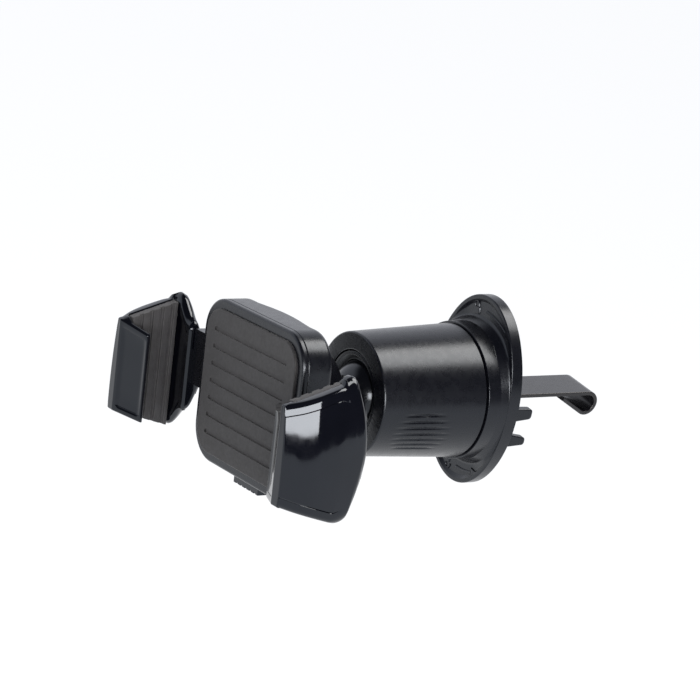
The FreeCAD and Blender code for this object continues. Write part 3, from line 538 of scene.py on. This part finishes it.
def vent_flange():
    """The oval plate with its collar, slot, screw holes, raised marks and prongs."""
    count = 200
    angles = even_angles(count)
    sections = [rounded(flange_section(a), closed=False, steps=5) for a in angles]
    bm = bmesh.new()
    rings = [
        [Vector((s[k].x * math.cos(a), s[k].y, s[k].x * math.sin(a))) for s, a in zip(sections, angles)]
        for k in range(len(sections[0]))
    ]
    loft(bm, rings, caps=True)
    bmesh.ops.triangulate(bm, faces=[f for f in bm.faces if len(f.verts) > 4])
    mesh = mesh_from(bm, "vent_flange")
    cutters = [block((-5.4, 5.4), (-4, 1), (-0.8, 0.8))]
    sink = [(1.3, -4, 0), (1.3, -1.25, 0), (2.5, -0.02, 0), (2.5, 1, 0)]
    cutters += [capped_lathe(sink, centre=(0, z)) for z in (SCREW_Z, -SCREW_Z)]
    mesh = carve(mesh, *cutters)
    piece("vent_flange_plate", mesh, "base", "satin_black", "vent_flange", sharp=42)

    marks = bmesh.new()
    padlock(marks, 19.3, 104, False)
    turn_arrow(marks, 19.3, 92, 66)
    padlock(marks, 19.7, -99, True)
    turn_arrow(marks, 19.5, -87, -68)
    piece("vent_flange_marks", mesh_from(marks, "marks"), "base", "satin_black", sharp=30)

    prongs = bmesh.new()
    upper = rounded([(-1.2, 1.5, 0), (5.15, 1.25, 0.8), (5.15, -1.24, 0.8), (-1.2, -1.95, 0)], steps=4)
    lower = rounded([(-1.2, -4.8, 0), (4.8, -6.0, 0.7), (4.8, -7.8, 0.7), (-1.2, -8.2, 0)], steps=4)
    for outline in (upper, lower):
        for x0, x1 in ((13.1, 14.9), (-14.9, -13.1)):
            loft(prongs, [[Vector((x, p.x, p.y)) for p in outline] for x in (x0, x1)], caps=True)
    piece("vent_flange_prongs", mesh_from(prongs, "prongs"), "base", "satin_black", bevel=0.22)


# ---------------------------------------------------------------- ball socket

BALL_Y, BALL_RADIUS, SEAT_RADIUS = -31, 8.5, 8.6


def socket():
    """The ring that holds the ball in, the ball and the neck that screws into it."""
    seat = [
        (SEAT_RADIUS * math.cos(a), BALL_Y - SEAT_RADIUS * math.sin(a), 0)
        for a in (math.radians(degrees) for degrees in (10, 15, 20, 24))
    ]
    ring = lathe([
        *seat,
        (8.05, -34.4, 0.12),
        (9.0, -35.6, 0.12),
        (9.85, -35.6, 0.2),
        (9.85, -32.6, 0.1),
        (9.3, -32.4, 0.1),
    ])
    piece("socket_ring_front", mesh_from(ring, "socket"), "base", "satin_black", "socket_ring", sharp=45)

    steps = 40
    start, end = math.asin(4.18 / BALL_RADIUS), math.pi - math.asin(4.6 / BALL_RADIUS)
    arc = [start + (end - start) * k / steps for k in range(steps + 1)]
    corners = [(BALL_RADIUS * math.sin(a), BALL_Y - BALL_RADIUS * math.cos(a), 0) for a in arc]
    corners += [(4.6, -28.0, 0.1), (3.06, -28.0, 0.1), (3.06, -38.4, 0.1)]
    piece("ball_sphere", mesh_from(lathe(corners, 160), "ball", ROLL), "ball", "ball_black", "ball", sharp=45)

    neck = capped_lathe([
        (0.6, -28.1, 0),
        (3.0, -28.1, 0.3),
        (3.0, -38.5, 0.1),
        (4.1, -38.6, 0.35),
        (4.1, -45.3, 0.1),
        (7.2, -45.3, 0.2),
        (7.2, -46.9, 0.2),
        (0.6, -46.9, 0),
    ], 96)
    piece("ball_stud_neck", mesh_from(neck, "neck", ROLL), "cradle", "ball_black", "ball_stud", sharp=45)


# ---------------------------------------------------------------- hook


def vent_hook():
    """A flat strip whose end is rolled down and back into a sprung leg."""
    thick, half, top = 0.95, 5.1, 0.46
    curl_y, curl_radius = 28.55, 3.03
    middle_radius = curl_radius - thick / 2
    centre = Vector((curl_y, top - curl_radius))
    slope = math.radians(30.5)
    line = [Vector((y, top - thick / 2)) for y in (-6.2, 0, 7, 14, 21, 27.2, curl_y)]
    turn = math.pi + slope
    count = 28
    for k in range(1, count + 1):
        angle = math.pi / 2 - turn * k / count
        line.append(centre + middle_radius * Vector((math.cos(angle), math.sin(angle))))
    along = Vector((-math.cos(slope), math.sin(slope)))
    start = line[-1]
    line += [start + along * reach for reach in (1.5, 3.5, 5.2, 6.4, 6.86)]
    edge = 0.16
    section = rounded([
        (-half, -thick / 2, edge),
        (half, -thick / 2, edge),
        (half, thick / 2, edge),
        (-half, thick / 2, edge),
    ], steps=3)
    rings = []
    for i, point in enumerate(line):
        ahead = (line[min(i + 1, len(line) - 1)] - line[max(i - 1, 0)]).normalized()
        up = Vector((-ahead.y, ahead.x))
        rings.append([Vector((p.x, (point + up * p.y).x, (point + up * p.y).y)) for p in section])
    bm = loft(bmesh.new(), rings, caps=True)
    piece("vent_hook_strip", mesh_from(bm, "hook"), "hook", "black_steel", "vent_hook", sharp=50)


# ---------------------------------------------------------------- cradle

BODY_X, BODY_Z, BODY_CORNER, BODY_WALL = 22.0, 19.0, 8.0, 1.8
SEAM, BOX_REAR, HUB_END, HUB, DOME = -61.5, -55.0, -43.5, 9.8, 18.9
FRONT_EDGE, FRONT_FILLET, PAD_BASE, PAD_FILLET = -62.3, 0.7, -63.4, 0.3


def back_cover():
    """A rounded box that flows into a dome round the ball's neck, hollow inside."""
    outline = rounded_box_ring(BODY_X, BODY_Z, BODY_CORNER, 0)
    angles = [math.atan2(p.z, p.x) for p in outline]
    rings = [
        rounded_box_ring(BODY_X, BODY_Z, BODY_CORNER, SEAM, 0.18),
        rounded_box_ring(BODY_X, BODY_Z, BODY_CORNER, SEAM + 0.18),
        rounded_box_ring(BODY_X, BODY_Z, BODY_CORNER, SEAM + 2),
    ]
    backs = []
    for point, angle in zip(outline, angles):
        far = math.hypot(point.x, point.z)
        room = max(far - DOME, 0.1)
        backs.append(rounded([
            (far, -58.5, 0),
            (far, BOX_REAR, min(1.6, 0.55 * room)),
            (DOME, BOX_REAR, min(3.5, 0.8 * room)),
            (HUB, HUB_END, 1.6),
            (4.15, HUB_END, 0.35),
            (4.15, HUB_END - BODY_WALL, 0.1),
            (8.0, HUB_END - BODY_WALL, 0.3),
            (15.5, -55.6, 0.3),
        ], closed=False, steps=6))
    for k in range(len(backs[0])):
        rings.append([
            Vector((back[k].x * math.cos(a), back[k].y, back[k].x * math.sin(a)))
            for back, a in zip(backs, angles)
        ])
    inner = (BODY_X - BODY_WALL, BODY_Z - BODY_WALL, BODY_CORNER - BODY_WALL)
    rings += [rounded_box_ring(*inner, y, inset) for y, inset in ((-55.6, 0.4), (-55.9, 0), (SEAM, 0))]
    mesh = mesh_from(loft(bmesh.new(), rings, loop=True), "back_cover", ROLL)
    windows = [
        block((17.0, 23.0), (-61.4, -58.2), (-11.7, 1.7)),
        block((-23.0, -17.0), (-61.4, -58.2), (-4.7, 8.7)),
        block((-5.7, 5.7), (-61.1, -57.0), (-20.0, -16.0)),
    ]
    mesh = carve(mesh, *windows, placed=ROLL)
    piece("cradle_back_shell", mesh, "cradle", "satin_black", "cradle_back_cover", sharp=38)


def rounded_over(shape, y, fillet, step):
    """Rings that roll a rounded box's edge over towards the front, in steps of an angle."""
    return [
        rounded_box_ring(*shape, y - fillet * math.sin(a), fillet * (1 - math.cos(a)))
        for a in (math.radians(step * k) for k in range(1, 90 // step + 1))
    ]


def front_cover():
    """The front shell, with a small bevel at the seam and a rounded front edge."""
    shape = (BODY_X, BODY_Z, BODY_CORNER)
    rings = [
        rounded_box_ring(*shape, y, inset)
        for y, inset in ((SEAM, 0.18), (SEAM - 0.18, 0), (FRONT_EDGE, 0))
    ]
    rings += rounded_over(shape, FRONT_EDGE, FRONT_FILLET, 15)
    rings.append(rounded_box_ring(*shape, FRONT_EDGE - FRONT_FILLET, 2.0))
    mesh = mesh_from(loft(bmesh.new(), rings, caps=True), "front_cover", ROLL)
    piece("cradle_front_shell", mesh, "cradle", "satin_black", "cradle_front_cover")


def phone_pad():
    """A thin rubber pad with seven moulded grooves."""
    margin, half_long, half = 2.2, 16, 0.5
    shape = (BODY_X - margin, BODY_Z - margin, BODY_CORNER - margin)
    rings = [rounded_box_ring(*shape, -63.0), rounded_box_ring(*shape, PAD_BASE)]
    rings += rounded_over(shape, PAD_BASE, PAD_FILLET, 18)
    mesh = mesh_from(loft(bmesh.new(), rings, caps=True), "phone_pad", ROLL)
    grooves = []
    for z in range(-12, 13, 4):
        outline = rounded([
            (-half_long, z - half, 0.45),
            (half_long, z - half, 0.45),
            (half_long, z + half, 0.45),
            (-half_long, z + half, 0.45),
        ])
        grooves.append(loft(bmesh.new(), prism_rings(outline, (-65.0, PAD_BASE)), caps=True))
    mesh = carve(mesh, *grooves, placed=ROLL)
    piece("phone_pad_ribbed", mesh, "cradle", "soft_rubber", "phone_pad", sharp=35)


# ---------------------------------------------------------------- grips

ARC_RADIUS, ARC_Y, ARC_Z = 31.2, -87.62, -0.84
SIDE_FRONT, TOP_FRONT, BOTTOM_FRONT, FRONT_SLOPE = -76.5, 9.2, -12.7, 0.3
TOP_SLOPE, BOTTOM_SLOPE, TOP_BLEND, BOTTOM_BLEND = 5.3 / 17, 4.6 / 16, 1.6, 3.6
GRIP_OUTLINE = [
    (29.4, -73.4, 0.3),
    (36.9, -76.75, 0.5),
    (39.5, -76.65, 0.5),
    (41.4, -73.4, 9.0),
    (42.15, -70.0, 15.0),
    (42.25, -67.0, 30.0),
    (42.2, -63.8, 30.0),
    (41.9, -60.4, 8.0),
    (41.5, -56.45, 1.8),
    (38.4, -56.45, 0.8),
    (37.2, -57.2, 0.8),
    (30.0, -57.2, 0.5),
    (29.4, -58.0, 0.3),
    (29.4, -61.9, 0.4),
    (30.0, -62.5, 0.3),
    (37.9, -62.5, 0.4),
    (37.9, -74.4, 0.4),
    (35.0, -74.6, 0.8),
    (29.8, -72.4, 0.2),
    (29.4, -72.7, 0.2),
]
ROUND_BACK, FRONT_CORNER = -61.5, -73.4
CROWN_RADIUS, CROWN_HEIGHT, CROWN_LEAN = 140.0, -8.0, 0.86
BAND, BAND_SLOPE, CREASE, CREASE_HALF = 1.2, math.tan(math.radians(4)), 0.13, 0.13
PANEL_DEPTH = 0.4
SHOULDER_X, SHOULDER_RUN, SHOULDER_FALL = 37.0, 7.0, 5.0
HILL_X, HILL_RUN, HILL = 40.8, 2.8, 1.0
LEG_FRONT, LEG_EDGE, LIP_ROOT, LIP_FALL = -62.9, 1.5, 36.9, 0.42


def shoulder(x, y):
    """How far the upper and lower limits draw in towards the end of the rear leg."""
    if y <= LEG_FRONT:
        return 0.0
    return SHOULDER_FALL * smoothstep((SHOULDER_X - x) / SHOULDER_RUN)


def hill(x, y):
    """The rear leg's top stands up a little behind the side, and the lip's top falls away."""
    if y > LEG_FRONT:
        return HILL * smoothstep((HILL_X - x) / HILL_RUN)
    return -LIP_FALL * max(0, LIP_ROOT - x)


def softer_min(a, b, blend):
    """The smaller of two numbers, with the change from one to the other rounded."""
    share = min(max(0.5 + (b - a) / (2 * blend), 0), 1)
    return b + (a - b) * share - blend * share * (1 - share)


def arc_half_height(y):
    """Half the height of the round back at a depth."""
    return math.sqrt(max(ARC_RADIUS**2 - (y - ARC_Y) ** 2, 0.01))


def side_top(y):
    """The side's upper limit at a depth: a straight slope, then the round back."""
    slope = TOP_SLOPE if y > SIDE_FRONT else FRONT_SLOPE
    straight = TOP_FRONT + (y - SIDE_FRONT) * slope
    return softer_min(straight, ARC_Z + arc_half_height(y), TOP_BLEND)


def side_bottom(y):
    """The side's lower limit at a depth."""
    slope = BOTTOM_SLOPE if y > SIDE_FRONT else FRONT_SLOPE
    straight = BOTTOM_FRONT - (y - SIDE_FRONT) * slope
    return -softer_min(-straight, arc_half_height(y) - ARC_Z, BOTTOM_BLEND)


def grip_top(x, y):
    """The grip's upper limit at a place."""
    return side_top(y) - shoulder(x, y) + hill(x, y)


def grip_bottom(x, y):
    """The grip's lower limit at a place."""
    return side_bottom(y) + shoulder(x, y)


def divided(points):
    """Add points so that gaps are under 1 mm, or 0.4 mm near the front edge and the round back."""
    dense = []
    for a, b in zip(points, points[1:] + points[:1]):
        limit = 0.4 if max(a.y, b.y) > ROUND_BACK or min(a.y, b.y) < FRONT_CORNER else 1.0
        count = max(1, math.ceil((b - a).length / limit))
        dense += [a.lerp(b, k / count) for k in range(count)]
    return dense


def outward_normals(points):
    """Unit normals of a closed outline, pointing out of it."""
    area = sum(a.x * b.y - b.x * a.y for a, b in zip(points, points[1:] + points[:1]))
    sign = math.copysign(1, area)
    normals = []
    for before, after in zip(points[-1:] + points[:-1], points[1:] + points[:1]):
        along = (after - before).normalized()
        normals.append(Vector((along.y, -along.x)) * sign)
    return normals


def inside(point, outline, margin):
    """Whether a point lies in an outline and clear of it by a margin."""
    within = False
    for a, b in zip(outline, outline[1:] + outline[:1]):
        if (a.y > point.y) != (b.y > point.y):
            crossing = (b.x - a.x) * (point.y - a.y) / (b.y - a.y) + a.x
            if point.x < crossing:
                within = not within
        span = b - a
        t = min(max((point - a).dot(span) / max(span.length_squared, 1e-9), 0), 1)
        if (a + span * t - point).length < margin:
            return False
    return within


def cap(bm, ring, height):
    """Close a ring of vertices with a surface whose height depends on the place."""
    row_step, step, margin = 1.1, 0.9, 0.22
    outline = [Vector(vert.co.xy) for vert in ring]
    low_x, high_x = min(p.x for p in outline), max(p.x for p in outline)
    low_y, high_y = min(p.y for p in outline), max(p.y for p in outline)
    rows = [y for y in (low_y + row_step * k for k in range(40)) if y < ROUND_BACK]
    back_angles = (28, 25.5, 23, 20.5, 18, 15.5, 13, 10.5, 8, 5)
    rows += [ARC_Y + ARC_RADIUS * math.cos(math.radians(angle)) for angle in back_angles]
    extra = []
    for y in rows:
        if y < high_y:
            for k in range(int((high_x - low_x) / step) + 1):
                point = Vector((low_x + step / 2 + step * k, y))
                if inside(point, outline, margin):
                    extra.append(point)
    count = len(ring)
    points, _, faces, origins, _, _ = delaunay_2d_cdt(
        outline + extra, [], [list(range(count))], 1, 1e-5
    )
    verts = []
    for point, origin in zip(points, origins):
        edge = next((i for i in origin if i < count), None)
        if edge is None:
            verts.append(bm.verts.new((point.x, point.y, height(point.x, point.y))))
        else:
            verts.append(ring[edge])
    for face in faces:
        if len({verts[i] for i in face}) > 2:
            bm.faces.new([verts[i] for i in face])


def crown_share(place, normal):
    """How much of the crown a point takes: all of it on the outer side, none inside."""
    inner_front, inner_rear = -76.2, -57.6
    if normal.x < 0.2 and inner_front < place.y < inner_rear:
        return 0.0
    return smoothstep((place.x - LIP_ROOT) / 1.6)


def panel_share(place, normal):
    """How far a point is into the shallow panel on the lip's face."""
    inner_side, root_side = 29.4, 36.3
    if normal.y > -0.8 or not inner_side - 0.4 < place.x < root_side + 0.3:
        return 0.0
    return smoothstep((place.x - inner_side) / 1.0) * smoothstep((root_side - place.x) / 0.8)


def column_solid(outline, top, bottom, edge, outer_edge=0.0, side_edge=0.0, shaped=False):
    """A solid between two slopes over an outline in (x, y), with rounded upper and lower edges.

    Where shaped, the outer side is crowned, has a band set off by a fine crease along its upper
    and lower edges and rolls over into the round back, and the lip has a shallow panel.
    """
    normals = outward_normals(outline)
    arc_steps, spans = 5, 9
    side_normal, back_start = 0.15, -65
    most_radius, most_drop = 0.42, 0.46  # shares of the height
    probe = 0.05
    table = []
    for point, normal in zip(outline, normals):
        high, low = top(*point), bottom(*point)
        side = smoothstep((normal.x - side_normal) / 0.5) if shaped else 0.0
        back = smoothstep((point.y - back_start) / 3.5)
        radius = edge + ((side_edge - edge) * back + (outer_edge - edge) * (1 - back)) * side
        if shaped and point.y > LEG_FRONT and normal.x < side_normal:
            radius = LEG_EDGE
        radius = min(radius, most_radius * (high - low))
        steep = (high - top(point.x, point.y - probe)) / probe
        drop = min(radius * math.hypot(1, steep), most_drop * (high - low))
        crown = crown_share(point, normal) if shaped else 0.0
        panel = panel_share(point, normal) if shaped else 0.0
        table.append((point, normal, high, low, radius, drop, side * (1 - back), crown, panel))

    def shaped_place(point, normal, z, near, band, crown, panel):
        """The outline's point at a height, with the crown, band, crease and panel."""
        groove = CREASE * max(0, 1 - abs(near - BAND) / CREASE_HALF)
        inset = band * (BAND_SLOPE * max(0, BAND - near) + groove)
        inset += PANEL_DEPTH * panel * smoothstep((near - 1.0) / 0.6)
        place = point - normal * inset
        across = 2 * CROWN_RADIUS * max(normal.x, CROWN_LEAN)
        place.x -= crown * (z - CROWN_HEIGHT) ** 2 / across
        return place

    edges = (0, BAND - CREASE_HALF, BAND, BAND + CREASE_HALF)
    rows = [("low", math.radians(90 * k / arc_steps)) for k in range(arc_steps, 0, -1)]
    rows += [("wall", k) for k in range(2 * len(edges) + spans - 1)]
    rows += [("high", math.radians(90 * k / arc_steps)) for k in range(1, arc_steps + 1)]

    def wall_height(k, reach):
        """Rows packed round the creases and even between them."""
        packed = [min(mark, 0.4 * reach * mark / edges[-1]) for mark in edges]
        if k < len(edges):
            return packed[k]
        if k >= len(edges) + spans - 1:
            return reach - packed[2 * len(edges) + spans - 2 - k]
        return packed[-1] + (reach - 2 * packed[-1]) * (k - len(edges) + 1) / spans

    bm = bmesh.new()
    made = []
    for kind, at in rows:
        ring = []
        for point, normal, high, low, radius, drop, band, crown, panel in table:
            if kind == "wall":
                z = low + drop + wall_height(at, high - low - 2 * drop)
                near = min(high - drop - z, z - low - drop)
                place = shaped_place(point, normal, z, near, band, crown, panel)
            else:
                z = high - drop if kind == "high" else low + drop
                place = shaped_place(point, normal, z, 0, band, crown, panel)
                place -= normal * radius * (1 - math.cos(at))
                fall = drop * (1 - math.sin(at))
                z = top(*place) - fall if kind == "high" else bottom(*place) + fall
            ring.append(bm.verts.new((place.x, place.y, z)))
        made.append(ring)
    for low_row, high_row in zip(made, made[1:]):
        for i, vert in enumerate(low_row):
            j = (i + 1) % len(low_row)
            bm.faces.new((vert, low_row[j], high_row[j], high_row[i]))
    cap(bm, made[0], bottom)
    cap(bm, made[-1], top)
    return bm


def grips():
    """Two glossy shells; the left one mirrors the right, apart from its screws' heights."""
    outline = divided(rounded(GRIP_OUTLINE, steps=5))
    for name, placed, screws in (
        ("right_grip", ROLL, (-4.7, -0.3)),
        ("left_grip", ROLL @ MIRROR, (-2.7, 1.7)),
    ):
        bm = column_solid(outline, grip_top, grip_bottom, 0.3, 1.1, 2.5, shaped=True)
        mesh = mesh_from(bm, name, placed)
        sink = [(1.7, -58.05, 0), (1.7, -57.45, 0), (2.1, -56.9, 0), (2.1, -55, 0)]
        sinks = [capped_lathe(sink, centre=(33.5, z)) for z in screws]
        mesh = carve(mesh, *sinks, placed=placed)
        body = name.replace("grip", "arm")
        piece(f"{name}_shell", mesh, body, "piano_black", name, sharp=40)


def grip_pads():
    """Rubber pads with four upright grooves, one inside each grip."""
    inner, outer, front, back = 35.45, 37.85, -74.2, -62.7
    deep, wide, spacing, margin = 0.5, 0.9, 2.6, 0.25
    corners = [(outer, back, 0.3), (outer, front, 0.3), (inner, front, 0.3)]
    for i in range(4):
        start = -72.4 + spacing * i
        corners += [
            (inner, start, 0.2),
            (inner + deep, start, 0.18),
            (inner + deep, start + wide, 0.18),
            (inner, start + wide, 0.2),
        ]
    corners.append((inner, back, 0.3))
    outline = rounded(corners, steps=3)
    for name, placed in (("right_grip", ROLL), ("left_grip", ROLL @ MIRROR)):
        bm = column_solid(
            outline, lambda x, y: side_top(y) - margin, lambda x, y: side_bottom(y) + margin, 0.2
        )
        mesh = mesh_from(bm, name, placed)
        body = name.replace("grip", "arm")
        piece(f"{name}_pad_ribbed", mesh, body, "grip_rubber", f"{name}_pad", sharp=45)


# ---------------------------------------------------------------- release button


def release_button():
    """A key with a flange that keeps it in and five grip grooves across its end."""
    flange, key, end, groove, half = 7.0, 5.5, -21.3, 0.35, 0.3
    outline = [(flange, -16.2), (flange, -17.1), (key, -17.1), (key, end)]
    for x in (4, 2, 0, -2, -4):
        outline += [(x + half, end), (x + half, end + groove), (x - half, end + groove), (x - half, end)]
    outline += [(-key, end), (-key, -17.1), (-flange, -17.1), (-flange, -16.2)]
    rings = prism_rings(outline, (-60.9, -57.2))
    mesh = mesh_from(loft(bmesh.new(), rings, caps=True), "button", ROLL)
    piece("release_button_key", mesh, "release", "piano_black", "release_button", bevel=0.16)


# ---------------------------------------------------------------- springs

WIRE = 0.22


def coil(name, mean_radius, wire, length, turns, turned, start):
    """A coil spring along its own Z, turned and set at a start point; it rides on no body."""
    per_turn = 16
    placed = Matrix.Translation(start) @ turned
    rise = (length - 2 * wire) / turns
    rings = []
    for step in range(turns * per_turn + 1):
        a = 2 * math.pi * step / per_turn
        out = Vector((math.cos(a), math.sin(a), 0))
        along = Vector((-mean_radius * math.sin(a), mean_radius * math.cos(a), rise / (2 * math.pi)))
        side = along.normalized().cross(out)
        centre = out * mean_radius + Vector((0, 0, wire + rise * step / per_turn))
        section = [out * wire * math.cos(t) + side * wire * math.sin(t) for t in even_angles(8)]
        rings.append([placed @ (centre + offset) for offset in section])
    mesh = mesh_from(loft(bmesh.new(), rings, caps=True), name, ROLL)
    thing = piece(f"{name}_coil", mesh, None, "spring_steel", name)
    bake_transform(thing)


def springs():
    """The spring that opens the arms and the button's return spring."""
    to_the_right = Matrix.Rotation(math.radians(90), 4, "Y")
    coil("opening_spring", 1.0, WIRE, 13.9, 10, to_the_right, (-13.45, -59.8, -13.1))
    length = 4.85
    downwards = Matrix.Translation((0, 0, length)) @ Matrix.Rotation(math.pi, 4, "X")
    coil("release_spring", 1.3, WIRE, length, 6, downwards, (0, -59.2, 12.25))


# ---------------------------------------------------------------- stage


def aim(thing, place, target):
    """Stand an object at a place, looking at a target."""
    thing.location = place
    thing.rotation_mode = "QUATERNION"
    thing.rotation_quaternion = (Vector(target) - Vector(place)).to_track_quat("-Z", "Y")


def rectangular_light(name, wide, high, radiance, tone):
    """A rectangular light with an even radiance."""
    light = bpy.data.lights.new(name, "AREA")
    light.shape = "RECTANGLE"
    light.size, light.size_y = wide, high
    light.energy = radiance * math.pi * wide * high
    light.color = tone
    lamp = bpy.data.objects.new(name, light)
    bpy.context.scene.collection.objects.link(lamp)
    return lamp


def softbox(name, towards, distance, size, radiance, tone):
    """A rectangular light in a direction from the object and facing it."""
    lamp = rectangular_light(name, *size, radiance, tone)
    middle = Vector((0, -0.03, 0))
    aim(lamp, middle + Vector(towards).normalized() * distance, middle)


def panel_light(name, corner, opposite, radiance, tone):
    """A rectangular light in a plane of constant x, between two corners in millimetres."""
    low, high = Vector(corner) * MM, Vector(opposite) * MM
    lamp = rectangular_light(name, high.y - low.y, high.z - low.z, radiance, tone)
    facing_left = Matrix(((0, 0, 1), (1, 0, 0), (0, 1, 0))).to_4x4()
    lamp.matrix_world = Matrix.Translation((low + high) / 2) @ facing_left


def ramp(tree, source, start, end):
    """A smooth step of a number."""
    ranged = tree.nodes.new("ShaderNodeMapRange")
    ranged.interpolation_type = "SMOOTHSTEP"
    ranged.inputs["From Min"].default_value = start
    ranged.inputs["From Max"].default_value = end
    tree.links.new(source, ranged.inputs["Value"])
    return ranged.outputs["Result"]


def product(tree, first, second):
    """Two numbers multiplied."""
    times = tree.nodes.new("ShaderNodeMath")
    times.operation = "MULTIPLY"
    tree.links.new(first, times.inputs[0])
    tree.links.new(second, times.inputs[1])
    return times.outputs["Value"]


def along(tree, source, direction):
    """A position's distance along a direction."""
    dot = tree.nodes.new("ShaderNodeVectorMath")
    dot.operation = "DOT_PRODUCT"
    tree.links.new(source, dot.inputs[0])
    dot.inputs[1].default_value = direction
    return dot.outputs["Value"]


def floor():
    """A wide plain floor below the mount, one pale tone all over."""
    half_size, height = 8, -0.2
    bm = bmesh.new()
    bmesh.ops.create_grid(bm, x_segments=24, y_segments=24, size=half_size)
    bmesh.ops.translate(bm, verts=bm.verts, vec=(0, 0, height))
    mesh = bpy.data.meshes.new("floor")
    bm.to_mesh(mesh)
    bm.free()
    thing = bpy.data.objects.new("floor", mesh)
    bpy.context.scene.collection.objects.link(thing)
    graph = Graph("floor")
    graph.set("Base Color", (0.12, 0.12, 0.12, 1))
    graph.set("Roughness", 0.9)
    graph.set("Specular IOR Level", 0.0)
    graph.set("Emission Color", (0.92, 0.93, 0.95, 1))
    graph.set("Emission Strength", 1.0)
    mesh.materials.append(graph.material)


def world():
    """Dim surroundings with a pale backdrop all along the left."""
    surroundings = bpy.data.worlds.new("studio")
    bpy.context.scene.world = surroundings
    surroundings.use_nodes = True
    tree = surroundings.node_tree
    direction = tree.nodes.new("ShaderNodeTexCoord").outputs["Generated"]
    left = ramp(tree, along(tree, direction, (-1, 0, 0)), 0.15, 0.42)
    low = ramp(tree, along(tree, direction, (0, 0, -1)), -0.85, -0.6)
    mix = tree.nodes.new("ShaderNodeMix")
    mix.data_type = "RGBA"
    mix.inputs["A"].default_value = (0.045, 0.048, 0.06, 1)
    mix.inputs["B"].default_value = (0.98, 1.0, 1.08, 1)
    tree.links.new(product(tree, left, low), mix.inputs["Factor"])
    tree.links.new(mix.outputs["Result"], tree.nodes["Background"].inputs["Color"])


def camera():
    """The photograph's view: from the user's right, a little above, turned about the line of sight."""
    right = Vector((0.4972, 0.8452, 0.1959)).normalized()
    forward = Vector((-0.7688, 0.5339, -0.3522))
    forward = (forward - right * forward.dot(right)).normalized()
    up = right.cross(forward)
    lens = bpy.data.cameras.new("camera")
    lens.sensor_width = 36
    lens.lens = 143.1
    lens.clip_start, lens.clip_end = 0.05, 50
    eye = bpy.data.objects.new("camera", lens)
    bpy.context.scene.collection.objects.link(eye)
    basis = Matrix((right, up, -forward)).transposed().to_4x4()
    eye.matrix_world = Matrix.Translation((0.4826, -0.3736, 0.2320)) @ basis
    bpy.context.scene.camera = eye


def stage():
    """The floor, surroundings, camera and the two lights."""
    floor()
    world()
    camera()
    softbox("overhead", (0.04, 0.5, 0.86), 0.8, (0.46, 0.5), 8.6, (1.0, 0.95, 0.89))
    panel_light("side_strip", (350, -800, 26), (350, 30, 160), 15.0, (1.0, 0.96, 0.93))
    bpy.context.scene.view_settings.view_transform = "Standard"


# ---------------------------------------------------------------- build

lock_knob()
vent_flange()
socket()
vent_hook()
back_cover()
front_cover()
phone_pad()
grips()
grip_pads()
release_button()
springs()

for row in frame["record"]["subparts"]:
    node = frame["nodes"][row["node"]]
    node.data.materials.clear()
    node.data.materials.append(MATERIALS[row["material_slot"]])

stage()
